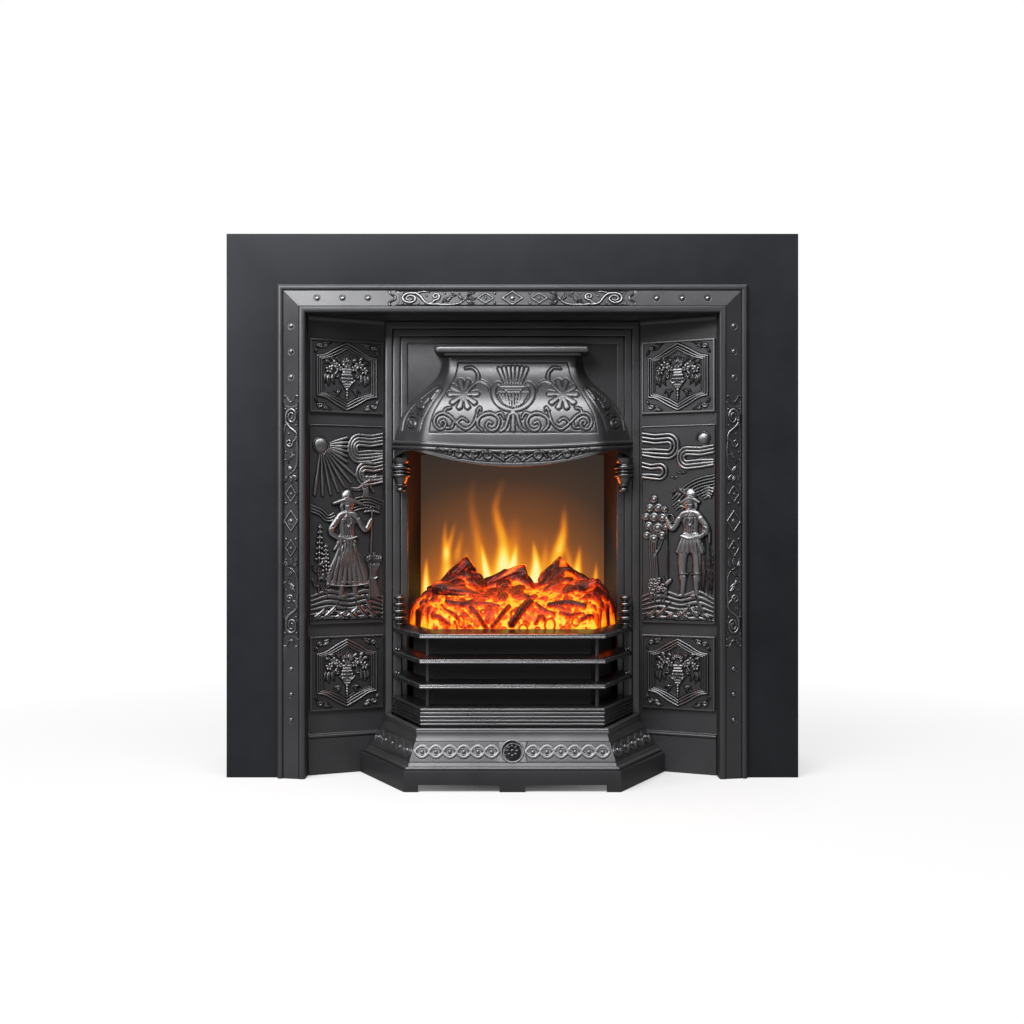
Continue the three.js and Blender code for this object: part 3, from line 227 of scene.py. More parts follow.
def set_points(piece, points):
    points = (np.asarray(points, float).reshape(-1, 3) + (0, PLATE_FACE, 0)) * MM
    piece.data.vertices.foreach_set("co", points.astype(np.float32).ravel())
    piece.data.update()


def bent_grid(name, points, wrap=False, tints=None):
    """A grid primitive whose rows and columns are bent through points, closed at its ends.
    With wrap the last row is joined to the first by one more row of faces."""
    if wrap:
        points = np.concatenate([points, points[:1]])
        tints = {key: np.concatenate([grid, grid[:1]]) for key, grid in (tints or {}).items()}
    rows, columns = points.shape[:2]
    deselect()
    bpy.ops.mesh.primitive_grid_add(x_subdivisions=columns - 1, y_subdivisions=rows - 1, size=1)
    piece = named(name)
    set_points(piece, points)
    for key, grid in (tints or {}).items():
        tint(piece, key, grid)
    edit(sew, fill_ends, face_outwards)
    return piece


def tint(piece, name, grid):
    """Stores one number, or one colour, per point of the piece for its material to read."""
    grid = np.asarray(grid, np.float32)
    coloured = grid.shape[-1] == 4 and grid.size == 4 * len(piece.data.vertices)
    layer = piece.data.attributes.new(name, "FLOAT_COLOR" if coloured else "FLOAT", "POINT")
    layer.data.foreach_set("color" if coloured else "value", grid.ravel())


def slab(name, front, back, polish=None, **tints):
    """A carved front, with plain edges that run back to where `back` puts them."""
    block = np.pad(front, ((1, 1), (1, 1), (0, 0)), mode="edge")
    edge = np.ones(block.shape[:2], bool)
    edge[1:-1, 1:-1] = False
    block[edge] = back(block[edge])
    if polish is not None:
        tints["polish"] = polish
    tints = {key: np.pad(grid, ((1, 1), (1, 1), *((0, 0),) * (grid.ndim - 2)), mode="edge")
             for key, grid in tints.items()}
    return bent_grid(name, block, tints=tints)


def loft(name, rings):
    """A solid through closed rings of equal length, filled at both ends."""
    rings = np.asarray(rings, float)
    return bent_grid(name, np.swapaxes(rings, 0, 1), wrap=True)


def turned(name, profile, foot, sides):
    """A piece turned about an upright axis from (radius, height) pairs, as on a lathe."""
    (first, low), rest = profile[0], profile[1:]
    deselect()
    bpy.ops.mesh.primitive_circle_add(vertices=sides, radius=first * MM, fill_type="NGON")
    piece = named(name)
    bpy.ops.object.mode_set(mode="EDIT")
    bpy.ops.mesh.select_all(action="SELECT")
    radius, height = first, low
    for wide, z in rest:
        rise = {"value": (0, 0, (z - height) * MM)}
        bpy.ops.mesh.extrude_region_move(TRANSFORM_OT_translate=rise)
        bpy.ops.transform.resize(value=(wide / radius, wide / radius, 1))
        radius, height = wide, z
    bpy.ops.mesh.select_all(action="SELECT")
    face_outwards()
    x, y, z = foot
    bpy.ops.transform.translate(value=(x * MM, (y + PLATE_FACE) * MM, (z + low) * MM))
    bpy.ops.object.mode_set(mode="OBJECT")
    return piece


def rounded(name, low, high, radius):
    """A block between two corners with its edges rounded over."""
    low, high = np.array(low, float), np.array(high, float)
    middle = ((low + high) / 2 + (0, PLATE_FACE, 0)) * MM
    deselect()
    bpy.ops.mesh.primitive_cube_add(size=1, location=middle, scale=(high - low) * MM)
    piece = named(name)
    bpy.ops.object.transform_apply(location=True, rotation=True, scale=True)
    edit(lambda: bpy.ops.mesh.bevel(offset=radius * MM, segments=3, affect="EDGES"))
    return piece


def cut(piece, tool):
    """Takes the tool's shape out of the piece."""
    select_only(piece)
    boolean = piece.modifiers.new("cut", "BOOLEAN")
    boolean.object = tool
    boolean.solver = "EXACT"
    bpy.ops.object.modifier_apply(modifier=boolean.name)
    bpy.data.objects.remove(tool)


def together(name, pieces):
    select_only(pieces[0])
    for piece in pieces:
        piece.select_set(True)
    bpy.ops.object.join()
    return named(name)


def points_of(piece):
    """A piece's points in millimetres, with depth 0 at the plate's face."""
    points = np.empty(3 * len(piece.data.vertices), np.float32)
    piece.data.vertices.foreach_get("co", points)
    return points.reshape(-1, 3).astype(float) / MM - (0, PLATE_FACE, 0)


def done(piece, body, material, stands_for=(), angle=35, shine=0.0):
    """Smooths a finished piece, gives it its finish and says what it rides on. shine is how
    burnished a piece without carving is, and where it varies it also carries a painted highlight or painted
    shade: a number, or a function of its points."""
    if "polish" not in piece.data.attributes:
        points = points_of(piece)
        tint(piece, "polish", shine(points) if callable(shine) else np.full(len(points), shine))
    select_only(piece)
    bpy.ops.object.shade_smooth_by_angle(angle=math.radians(angle))
    piece.data.materials.clear()
    piece.data.materials.append(material)
    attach(piece, body)
    if stands_for:
        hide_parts(*stands_for)
    return piece


# ================= Carving =================

def route(points, count=60):
    """A smooth line through points."""
    points = np.asarray(points, float)
    if len(points) < 3:
        return np.linspace(points[0], points[-1], count)
    ends = [2 * points[0] - points[1], *points, 2 * points[-1] - points[-2]]
    line = []
    steps = max(count // (len(points) - 1), 4)
    for a, b, c, d in zip(ends, ends[1:], ends[2:], ends[3:]):
        t = np.linspace(0, 1, steps, endpoint=False)[:, None]
        line.append(0.5 * (2 * b + (c - a) * t + (2 * a - 5 * b + 4 * c - d) * t * t
                           + (3 * b - a - 3 * c + d) * t ** 3))
    return np.concatenate([*line, points[-1:]])


def coil(x, z, wide, tall, turns, start, way, eye=0.22):
    """Points of a scroll that winds from its rim into its eye."""
    t = np.linspace(0, 1, 44)
    turn = start + way * 2 * math.pi * turns * t
    far = 1 - (1 - eye) * t ** 0.85
    return np.stack([x + wide * far * np.cos(turn), z + tall * far * np.sin(turn)], 1)


def chain(*runs):
    """One line through several runs of points, rounded where they meet."""
    return np.concatenate([np.asarray(run, float) for run in runs])


class Relief:
    """Heights over a rectangle of casting, built up stroke by stroke as a carver works."""

    def __init__(self, low, high, pitch):
        pitch = pitch * COARSE
        counts = [max(int(round((b - a) / pitch)), 4) for a, b in zip(low, high)]
        self.pitch = pitch
        self.across = np.linspace(low[0], high[0], counts[0] + 1)
        self.up = np.linspace(low[1], high[1], counts[1] + 1)
        self.x, self.z = np.meshgrid(self.across, self.up)
        self.raised = np.zeros_like(self.x)
        self.sunk = np.zeros_like(self.x)

    @property
    def high(self):
        return self.raised + self.sunk

    def near(self, x, z, reach):
        a, b = np.searchsorted(self.across, (x - reach, x + reach))
        c, d = np.searchsorted(self.up, (z - reach, z + reach))
        return slice(c, d), slice(a, b)

    def stamp(self, x, z, radius, high, soft=0.5, base=0.0):
        """A round swelling, or with a negative height a hollow."""
        here = self.near(x, z, radius)
        away = ((self.x[here] - x) ** 2 + (self.z[here] - z) ** 2) / radius ** 2
        bump = np.clip(1 - away, 0, None) ** soft
        if high < 0:
            self.sunk[here] = np.minimum(self.sunk[here], high * bump)
        else:
            lift = np.where(bump > 0, base + high * bump, 0)
            self.raised[here] = np.maximum(self.raised[here], lift)

    def stroke(self, points, radius, high, soft=0.5, base=0.0, curved=True):
        """A ridge along a line. radius may be a list, spread evenly along the line."""
        line = route(points) if curved else np.asarray(points, float)
        steps = np.hypot(*np.diff(line, axis=0).T)
        length = np.concatenate([[0], np.cumsum(steps)])
        radii = np.atleast_1d(np.asarray(radius, float))
        thick = radii.max()
        count = int(max(length[-1] / max(0.3 * thick, 0.5 * self.pitch), 2)) + 1
        along = np.linspace(0, length[-1], count)
        xs = np.interp(along, length, line[:, 0])
        zs = np.interp(along, length, line[:, 1])
        rs = np.interp(along / max(length[-1], 1e-9), np.linspace(0, 1, len(radii)), radii)
        for x, z, r in zip(xs, zs, rs):
            if r > 0.15:
                self.stamp(x, z, r, high * (r / thick) ** 0.6, soft, base)

    def leaf(self, points, wide, high, vein=True):
        """A leaf along a line, pointed at both ends, with a vein."""
        shape = [0.15 * wide, 0.75 * wide, wide, 0.85 * wide, 0.5 * wide, 0.08 * wide]
        self.stroke(points, shape, high)
        if vein:
            self.stroke(points, max(wide * 0.2, 0.45), -high * 0.5)

    def flower(self, x, z, radius, petals, high, heart=0.24, base=0.0):
        for k in range(petals):
            turn = 2 * math.pi * k / petals + 0.2
            near = (x + 0.3 * radius * math.cos(turn), z + 0.3 * radius * math.sin(turn))
            far = (x + 0.86 * radius * math.cos(turn), z + 0.86 * radius * math.sin(turn))
            wide = min(radius * 0.8 * math.pi / petals * 1.05, radius * 0.42)
            self.stroke([near, far], [wide * 0.5, wide, wide * 0.8], high, base=base)
        self.stamp(x, z, radius * heart, high * 1.15, base=base)

    def ring(self, x, z, wide, tall, thick, high):
        t = np.linspace(0, 2 * math.pi, 60)
        line = np.stack([x + wide * np.cos(t), z + tall * np.sin(t)], 1)
        self.stroke(line, thick, high, curved=False)

    def outline(self, points, thick, high):
        for a, b in zip(points, [*points[1:], points[0]]):
            self.stroke([a, b], thick, high)

    def incise(self, depth, reach, over=0.35):
        """Cuts a groove round whatever is raised, as a graver does."""
        mask = self.raised > over
        grown = mask
        for _ in range(max(int(round(reach / self.pitch)), 1)):
            wide = np.pad(grown, 1)
            grown = (wide[1:-1, 1:-1] | wide[2:, 1:-1] | wide[:-2, 1:-1] | wide[1:-1, 2:]
                     | wide[1:-1, :-2])
        self.sunk[grown & ~mask] = np.minimum(self.sunk[grown & ~mask], -depth)

    def read(self, x, z):
        """Heights at any places, between the grid's own."""
        field = self.high
        i = np.clip(np.interp(x, self.across, np.arange(len(self.across))), 0, len(self.across) - 1.001)
        k = np.clip(np.interp(z, self.up, np.arange(len(self.up))), 0, len(self.up) - 1.001)
        a, b = i.astype(int), k.astype(int)
        u, v = i - a, k - b
        low = mix(field[b, a], field[b, a + 1], u)
        return mix(low, mix(field[b + 1, a], field[b + 1, a + 1], u), v)


def carved(points, high):
    """Moves a surface's points along its normals, to the front, by the carving's heights."""
    normal = np.cross(np.gradient(points, axis=1), np.gradient(points, axis=0))
    size = np.linalg.norm(normal, axis=2, keepdims=True)
    normal = normal / np.maximum(size, 1e-9)
    side = np.sign(-normal[..., 1].mean()) or 1
    return points + normal * side * high[..., None]


# ================= Finishes =================

class Flow:
    """The value of one socket. Arithmetic on it adds Math nodes."""

    def __init__(self, shade, socket):
        self.shade = shade
        self.socket = socket

    def _maths(self, operation, *values):
        links = dict(enumerate(values))
        return self.shade.node("ShaderNodeMath", {"operation": operation}, links)

    def __add__(self, other):
        return self._maths("ADD", self, other)

    def __sub__(self, other):
        return self._maths("SUBTRACT", self, other)

    def __mul__(self, other):
        return self._maths("MULTIPLY", self, other)

    def over(self, low, high):
        """0 below low, 1 above high."""
        links = {"Value": self, "From Min": low, "From Max": high}
        return self.shade.node("ShaderNodeMapRange", {"clamp": True}, links)

    __radd__ = __add__
    __rmul__ = __mul__


class Shade:
    """A material while its nodes are joined up."""

    def __init__(self, name):
        self.material = bpy.data.materials.new(name)
        self.material.use_nodes = True
        self.tree = self.material.node_tree
        self.tree.nodes.clear()

    def node(self, kind, settings=None, links=None, out=0):
        node = self.tree.nodes.new(kind)
        for key, value in (settings or {}).items():
            if key == "stops":
                self._stops(node.color_ramp, value)
            else:
                setattr(node, key, value)
        for key, value in (links or {}).items():
            if isinstance(value, Flow):
                self.tree.links.new(value.socket, node.inputs[key])
            else:
                node.inputs[key].default_value = value
        return Flow(self, node.outputs[out]) if node.outputs else None

    @staticmethod
    def _stops(ramp, stops):
        while len(ramp.elements) < len(stops):
            ramp.elements.new(0.5)
        for element, (place, colour) in zip(ramp.elements, stops):
            element.position = place
            element.color = (*colour, 1)

    def place(self):
        return self.node("ShaderNodeTexCoord", out="Object")

    def noise(self, place, scale, detail, roughness=0.55):
        links = {"Vector": place, "Scale": scale, "Detail": detail, "Roughness": roughness}
        return self.node("ShaderNodeTexNoise", None, links)

    def attribute(self, name, out="Fac"):
        return self.node("ShaderNodeAttribute", {"attribute_name": name}, out=out)

    def blend(self, factor, a, b):
        def colour(value):
            return value if isinstance(value, Flow) else (*value, 1)
        links = {0: factor, 6: colour(a), 7: colour(b)}
        return self.node("ShaderNodeMix", {"data_type": "RGBA"}, links, out=2)

    def ramp(self, factor, stops):
        return self.node("ShaderNodeValToRGB", {"stops": stops}, {"Fac": factor})

    def bump(self, height, distance, strength):
        links = {"Height": height, "Distance": distance, "Strength": strength}
        return self.node("ShaderNodeBump", None, links)

    def surface(self, **sockets):
        links = {key.replace("_", " "): value for key, value in sockets.items()}
        shader = self.node("ShaderNodeBsdfPrincipled", None, links)
        self.node("ShaderNodeOutputMaterial", None, {"Surface": shader})
        return self.material


def cast_iron(name, dark, light, rough, gloss, grain=0.00022):
    """Blacked cast iron: sandy skin, blacking rubbed on unevenly, ornament burnished bright. The per-point
    polish numbers that lighten it are partly real burnish and partly painted light: painted highlights on
    raised parts, painted shade in grooves and under overhangs.
    """
    s = Shade(name)
    place = s.place()
    cloud = s.noise(place, 5.5, 4, 0.6)
    streak = s.noise(place, 38, 3, 0.6)
    sand = s.noise(place, 620, 3, 0.65)
    pits = s.noise(place, 210, 2, 0.5)
    polish = s.attribute("polish")
    tone = cloud.over(0.3, 0.75) * 0.6 + streak * 0.35
    blacked = s.blend(tone, dark, light)
    burnished = s.blend(cloud.over(0.3, 0.7), (0.14, 0.14, 0.144), (0.19, 0.19, 0.196))
    colour = s.blend(polish, blacked, burnished)
    roughness = cloud * 0.1 + streak * 0.1 + (rough - 0.1) - polish * 0.06
    height = sand + pits * 0.6
    return s.surface(
        Base_Color=colour, Metallic=polish.over(0, 0.4) * 0.68 + 0.3, Roughness=roughness,
        Specular_IOR_Level=gloss, Normal=s.bump(height, grain, 0.8),
    )


def sheet_metal(name, colour, metallic, rough, brushed=False):
    s = Shade(name)
    place = s.place()
    if brushed:
        stretched = s.node("ShaderNodeMapping", None, {"Vector": place, "Scale": (4, 90, 90)})
        skin = s.noise(stretched, 12, 3)
    else:
        skin = s.noise(place, 380, 2)
    cloud = s.noise(place, 9, 3)
    darker = [value * 0.75 for value in colour]
    return s.surface(
        Base_Color=s.blend(cloud, darker, colour), Metallic=metallic,
        Roughness=cloud * 0.16 + (rough - 0.08), Normal=s.bump(skin, 0.0001, 0.5),
    )


def moulded_plastic(name, colour, rough=0.5):
    s = Shade(name)
    place = s.place()
    cloud = s.noise(place, 30, 3)
    return s.surface(
        Base_Color=s.blend(cloud, [value * 0.8 for value in colour], colour),
        Roughness=cloud * 0.15 + (rough - 0.07), Normal=s.bump(s.noise(place, 900, 2), 0.00008, 0.5),
    )


def ember_coals(name):
    """Moulded coals, lit from below: dark crusts over red, and yellow light in the crevices."""
    s = Shade(name)
    place = s.place()
    light_level = s.attribute("warmth")
    ash = s.noise(place, 240, 4, 0.65)
    flicker = s.noise(place, 75, 3)
    spark = s.noise(place, 900, 2, 0.6)
    glow_level = light_level + (flicker - 0.5) * 0.5 + (ash - 0.5) * 0.7 + (spark - 0.5) * 0.35
    crust = s.ramp(ash, [
        (0.35, (0.006, 0.002, 0.002)), (0.6, (0.02, 0.005, 0.003)), (0.8, (0.09, 0.03, 0.02)),
    ])
    # The emission is painted light: the light board's glow through the moulded coals, brightest in the
    # crevices and low down.
    glow = s.ramp(glow_level, [
        (0.0, (0.012, 0.001, 0.0)), (0.14, (0.05, 0.003, 0.001)), (0.3, (0.36, 0.013, 0.001)),
        (0.46, (0.82, 0.04, 0.001)), (0.62, (0.98, 0.13, 0.001)), (0.8, (1.0, 0.38, 0.004)),
        (1.0, (1.0, 0.74, 0.05)),
    ])
    return s.surface(
        Base_Color=crust, Roughness=0.42, Specular_IOR_Level=0.12, Emission_Color=glow,
        Emission_Strength=EMBER_LIGHT, Normal=s.bump(ash, 0.0011, 0.9),
    )


def flame_sheet(name):
    """The lit screen, its picture of flames stored in the piece's own colours."""
    s = Shade(name)
    flame = s.attribute("picture", out="Color")
    return s.surface(
        Base_Color=(0.006, 0.005, 0.005, 1), Roughness=0.5, Specular_IOR_Level=0.12,
        Emission_Color=flame, Emission_Strength=FLAME_LIGHT,
    )


BLACKING = ((0.009, 0.0092, 0.01), (0.02, 0.0205, 0.0225))

finish = {
    "plate": cast_iron("blacked_iron", (0.0115, 0.012, 0.0141), (0.02, 0.0208, 0.0239), 0.47, 0.1),
    "ornament": cast_iron("burnished_iron", *BLACKING, 0.33, 0.35, 0.00003),
    "hood": cast_iron("rubbed_iron", *BLACKING, 0.5, 0.35, 0.0001),
    "tile": cast_iron("cast_picture", *BLACKING, 0.43, 0.35, 0.0001),
    # The recess iron is a lighter copy of the blacked iron: painted fill light where the recess lies in
    # shade.
    "recess": cast_iron("recess_iron_painted_fill", (0.022, 0.022, 0.0235), (0.036, 0.036, 0.039), 0.4, 0.5),
    "steel": sheet_metal("black_sheet_steel", (0.02, 0.02, 0.022), 0.3, 0.6),
    "bright": sheet_metal("bright_steel", (0.55, 0.55, 0.56), 1.0, 0.34, brushed=True),
    "board": moulded_plastic("white_board", (0.7, 0.7, 0.68)),
    "cheek": sheet_metal("sooty_steel", (0.007, 0.007, 0.0075), 0.0, 0.75),
    "plastic": moulded_plastic("black_plastic", (0.02, 0.02, 0.022)),
    "rosette": moulded_plastic("black_rosette", (0.006, 0.006, 0.007), 0.2),
    "ember": ember_coals("glowing_coals"),
    "log": ember_coals("charred_logs"),
    "flame": flame_sheet("flame_picture"),
}


# ================= Surround =================

def bead(start, end, base, high):
    """A rounded bead between two offsets, standing out from `base`."""
    turn = np.linspace(0, math.pi, 12)
    across = mix(start, end, (1 - np.cos(turn)) / 2)
    return list(zip(across, -base - high * np.sin(turn)))


def arched(name, profile, half, top):
    """A profile of (outwards, depth) swept up one jamb, across the head and down the other."""
    out, depth = np.asarray(profile, float).T
    rings = []
    for side, foot in ((-1, True), (-1, False), (1, False), (1, True)):
        heights = np.zeros_like(out) if foot else top + out
        rings.append(np.stack([side * (half + out), depth, heights], 1))
    return loft(name, rings)


def surround_profile():
    edge = PLATE_HALF - OPEN_HALF
    turn = np.linspace(0, math.pi / 2, 5)
    return [
        (0, REVEAL_DEPTH), (0, -14.3), (0.15, -14.8), *bead(0.5, 10.5, LIP_PROUD, 1.8),
        (11, -12.3), (BAND[0], -BAND_PROUD[0]), (BAND[1], -BAND_PROUD[1]), (39.5, -6.8),
        *bead(40, 49, 8, 3.5), (49.7, -7.7), (MOULD_WIDE, -7.2), (MOULD_WIDE, -0.6), (50.6, 0),
        *zip(edge - 1.5 * (1 - np.sin(turn)), 1.5 * (1 - np.cos(turn))),
        (edge, PLATE_THICK), (LIP_THICK, PLATE_THICK), (LIP_THICK, REVEAL_DEPTH),
    ]


def band_relief(ends, middle, half, studs):
    """Carving along a band: groups of studs, braces, and scrollwork mirrored about its middle."""
    r = Relief((ends[0], BAND[0] + 0.1), (ends[1], BAND[1] - 0.1), 0.62)
    low, high = BAND[0] + 1.3, BAND[1] - 1.3
    axis = (low + high) / 2
    unit = half / 117
    for u in studs:
        r.ring(u, axis, 5.2, 5.2, 0.9, -0.8)
        r.stamp(u, axis, 4.1, 2.7)
    for edge in (low, high):
        r.stroke([(middle - half + 1, edge), (middle + half - 1, edge)], 0.8, 0.9)
    for side in (-1, 1):
        def at(points):
            return [(middle + side * unit * u, axis + 1.72 * v) for u, v in points]

        def stem(points, thick=(1.7, 2.6, 2.3, 1.6), high=2.9):
            r.stroke(at(points), list(thick), high, soft=0.4, curved=False)

        def dot(u, v, radius=2.4, high=2.4):
            r.stamp(*at([(u, v)])[0], radius, high)

        brace = [(122, 7.4), (122.6, 5.4), (120.5, 3.4), (117.2, 1.6), (116.6, 0)]
        brace += [(u, -v) for u, v in brace[-2::-1]]
        r.stroke(at(brace), 1.5, 2.3)
        r.stroke([(u + side * 2.2, v) for u, v in at(brace)], 1.0, -0.9)
        r.stroke(at([(115, 7.4), (112.6, 3.6), (112, 0), (112.6, -3.6), (115, -7.4)]), 0.9, -1.3)
        lead = route([(74, -6.2), (81, -6.6), (87, -4.6), (91.5, 1.2), (96.4, 5.2)], 40)
        stem(chain(lead, coil(102.2, -0.5, 8.8, 6.2, 1.85, 2.1, -1)))
        stem(chain([(88, -4), (83, -6), (79, -4.2)], coil(76.6, 1.8, 4.6, 4.1, 1.35, -1.35, -1)),
             (1.6, 2.2, 1.6), 2.5)
        stem(route([(81, -6.4), (68, -7), (56, -6.4), (49, -3), (45, 3)], 40), (1.6, 2.2, 1.8, 1.2), 2.5)
        stem(route([(94, 5.8), (88, 6.8), (83, 6)], 20), (1.8, 1.5, 0.9), 2.2)
        for points in (
            [(70, -5.5), (66, -1), (60, 0.4)], [(66, -5.5), (61, 1.6), (54, 3.2)],
            [(48, -2.4), (53, 2.2), (52, 5.6)], [(45, 2.4), (41, 5.6), (36.5, 5.4)],
            [(45, 1.4), (40, -0.6), (35.4, -0.6)], [(46, -0.6), (42, -5), (37, -5.6)],
        ):
            r.leaf(at(points), 3.3, 2.9)
        for u, v in ((67.5, 5.2), (60, 6), (93.8, -5.4), (85.6, 2.2), (109.6, 6), (109.6, -6)):
            dot(u, v, 2.1, 2.0)
        for u, v in ((17.6, 5.2), (17.6, -5.2)):
            dot(u, v)
        diamond = [(18.8, 0), (26.7, 5.4), (34.6, 0), (26.7, -5.4)]
        r.outline(at(diamond), 1.4, 2.4)
        dot(26.7, 0, 2.6, 2.6)
    wide = [(middle - 10 * unit, axis), (middle, axis + 12), (middle + 10 * unit, axis),
            (middle, axis - 12)]
    r.outline(wide, 1.6, 2.5)
    r.stamp(middle, axis, 4.0, 2.7)
    r.ring(middle, axis, 5.2, 5.2, 0.7, -0.6)
    r.incise(0.8, 0.7, 1.0)
    return r


def band_base(v):
    return -mix(BAND_PROUD[0], BAND_PROUD[1], (v - BAND[0]) / (BAND[1] - BAND[0]))


def band_piece(name, relief, place):
    """A strip of carved band. `place` turns (along, outwards, depth) into (x, y, z)."""
    depth = band_base(relief.z) - 0.35 - relief.high
    front = place(relief.x, relief.z, depth)
    # Raised carving is burnished lighter, partly wear and partly a painted highlight; grooves sink towards
    # black as painted shade.
    polish = 0.24 + 0.76 * np.clip(relief.high / 2.4, -0.3, 1)

    def back(edge):
        return edge + (0, 1.6, 0)

    piece = slab(name, front, back, polish)
    return done(piece, "surround", finish["ornament"])


def surround():
    casting = arched("surround_casting", surround_profile(), OPEN_HALF, OPEN_TOP)
    # Parts standing proud of the plate are burnished lighter: partly wear, partly a painted highlight.
    done(casting, "surround", finish["plate"], ["front_casting"], 30,
         lambda points: 0.3 * smooth(-points[:, 1] - 0.2))
    pitches = [STUD_PITCH * k for k in range(3)]
    first = OPEN_HALF + MOULD_WIDE - STUD_FROM_CORNER[0]
    along = [first - pitch for pitch in pitches]
    studs = [*along, *(-u for u in along)]
    top = band_relief((-HEAD_BAND_HALF, HEAD_BAND_HALF), 0, ORNAMENT_HALF[0], studs)

    def mitred(u, v, plain, end, corner):
        """Draws a band's plain end out to the mitre."""
        return np.where(u > plain, plain + (u - plain) * (corner + v - 0.15 - plain) / (end - plain), u)

    def on_head(u, v, y):
        x = np.sign(u) * mitred(np.abs(u), v, first + 7, HEAD_BAND_HALF, OPEN_HALF)
        return np.stack([x, y, OPEN_TOP + v], -1)

    band_piece("head_band", top, on_head)
    last = OPEN_TOP + MOULD_WIDE - STUD_FROM_CORNER[1]
    studs = [STUD_FOOT + pitch for pitch in pitches] + [last - pitch for pitch in pitches]
    jamb = band_relief((0, JAMB_BAND_TOP), JAMB_MIDDLE, ORNAMENT_HALF[1], studs)
    for side, word in SIDES:
        def on_jamb(u, v, y):
            z = mitred(u, v, last + 7, JAMB_BAND_TOP, OPEN_TOP)
            return np.stack([side * (OPEN_HALF + v), y, z], -1)

        band_piece(f"{word}_band", jamb, on_jamb)


# ================= Tiled sides =================

def on_side(side, points):
    """From a side panel's own frame (along it, out of its face, up) to the fireplace's."""
    x, y, z = np.moveaxis(np.asarray(points, float), -1, 0)
    cos, sin = math.cos(PANEL_TURN), math.sin(PANEL_TURN)
    if side < 0:
        return np.stack([x * cos - y * sin - OPEN_HALF, x * sin + y * cos + REVEAL_DEPTH + 0.3, z], -1)
    foot = OPEN_HALF - PANEL_LONG * cos
    depth = REVEAL_DEPTH + 0.3 + PANEL_LONG * sin
    return np.stack([x * cos + y * sin + foot, depth + y * cos - x * sin, z], -1)


def side_panel(side, word):
    top = OPEN_TOP - 0.3
    cove = np.linspace(0, math.pi / 2, 9)
    ridge = bead(SKIRT_TOP, SKIRT_TOP + 6, 3, 3)
    profile = [(PANEL_THICK, 0), (-3.6, 0), (-4, 0.4), (-4, SKIRT_TOP - 1), (-3.2, SKIRT_TOP - 0.4)]
    profile += [(depth, z) for z, depth in ridge]
    profile += [(-0.6, SKIRT_TOP + 6.8), (0, SKIRT_TOP + 7.6), (0, top - COVE)]
    profile += list(zip(COVE * (np.cos(cove) - 1), top - COVE * (1 - np.sin(cove))))
    profile += [(PANEL_THICK, top)]
    cos, sin = math.cos(PANEL_TURN), math.sin(PANEL_TURN)
    reach = OPEN_HALF - INNER_HALF - 0.35

    def along(depth, at_reveal):
        """How far along the panel an end lies: square at the reveal, flush with the frame."""
        flush = (reach + depth * sin) / cos
        if side < 0:
            return 0 if at_reveal else flush
        return PANEL_LONG if at_reveal else PANEL_LONG - flush

    rings = []
    for at_reveal in (side < 0, side > 0):
        rings.append(on_side(side, [(along(depth, at_reveal), depth, z) for depth, z in profile]))
    piece = loft(f"{word}_splay", rings)
    done(piece, "surround", finish["recess"], [f"{word}_side_panel"], 30)


def tile_ground(tall, pitch):
    """A tile's raised rim with a thin line inside it."""
    r = Relief((0.4, 0.4), (TILE_WIDE - 0.4, tall - 0.4), pitch)
    inset = np.minimum(np.minimum(r.x, TILE_WIDE - r.x), np.minimum(r.z, tall - r.z))
    r.raised = np.maximum(r.raised, 2.3 * smooth((4.6 - inset) / 1.2))
    r.raised *= smooth((inset + 0.2) / 1.4) * 0.45 + 0.55
    return r


def tile_piece(name, relief, side, foot, node):
    depth = -TILE_BACK - 3 - relief.high
    x = relief.x if side < 0 else TILE_WIDE - relief.x
    front = on_side(side, np.stack([x + TILE_MARGIN, depth, relief.z + foot], -1))
    away = on_side(side, [(0, 3.0, 0)]) - on_side(side, [(0, 0, 0)])
    # Raised carving is burnished lighter, partly wear and partly a painted highlight; hollows are a little
    # darker as painted shade.
    polish = 0.1 + 0.9 * np.clip(relief.high / 4.4, -0.1, 1)
    piece = slab(name, front, lambda edge: edge + away[0], polish)
    return done(piece, "surround", finish["tile"], [node], 50)


def hexagons(r, cx, cz):
    for inset, thick, high in ((0, 2.1, 3.6), (4.4, 1.9, 3.0), (8.2, 1.8, 2.4), (12, 1.1, 1.2)):
        half = 55 - inset
        rise = 35 - 0.6 * inset
        for side in (-1, 1):
            for way in (-1, 1):
                shoulder, apex = cz + way * rise, cz + way * (60 - 1.15 * inset)
                bend = [(cx + side * half, shoulder), (cx + side * half * 0.72, shoulder + way * 3.4),
                        (cx + side * half * 0.36, apex - way * 10), (cx, apex)]
                r.stroke(bend, thick, high)
            r.stroke([(cx + side * half, cz - rise), (cx + side * half, cz + rise)], thick, high)


def corner_sprigs(r, at):
    for way in (-1, 1):
        corner = coil(50, way * 53, 5.2, 4.6, 1.3, -way * 0.4, way)
        r.stroke(at(corner), [1.6, 2.0, 1.5], 3.4, curved=False)
        for points in ([(46, 50), (38, 54), (31, 57.5)], [(45, 55), (36, 59.5), (26, 60.5)],
                       [(54, 49), (57.5, 44), (59.5, 39)]):
            r.leaf(at([(x, way * z) for x, z in points]), 2.9, 3.4)
        r.stamp(*at([(41.5, way * 58.6)])[0], 2.3, 3.2)


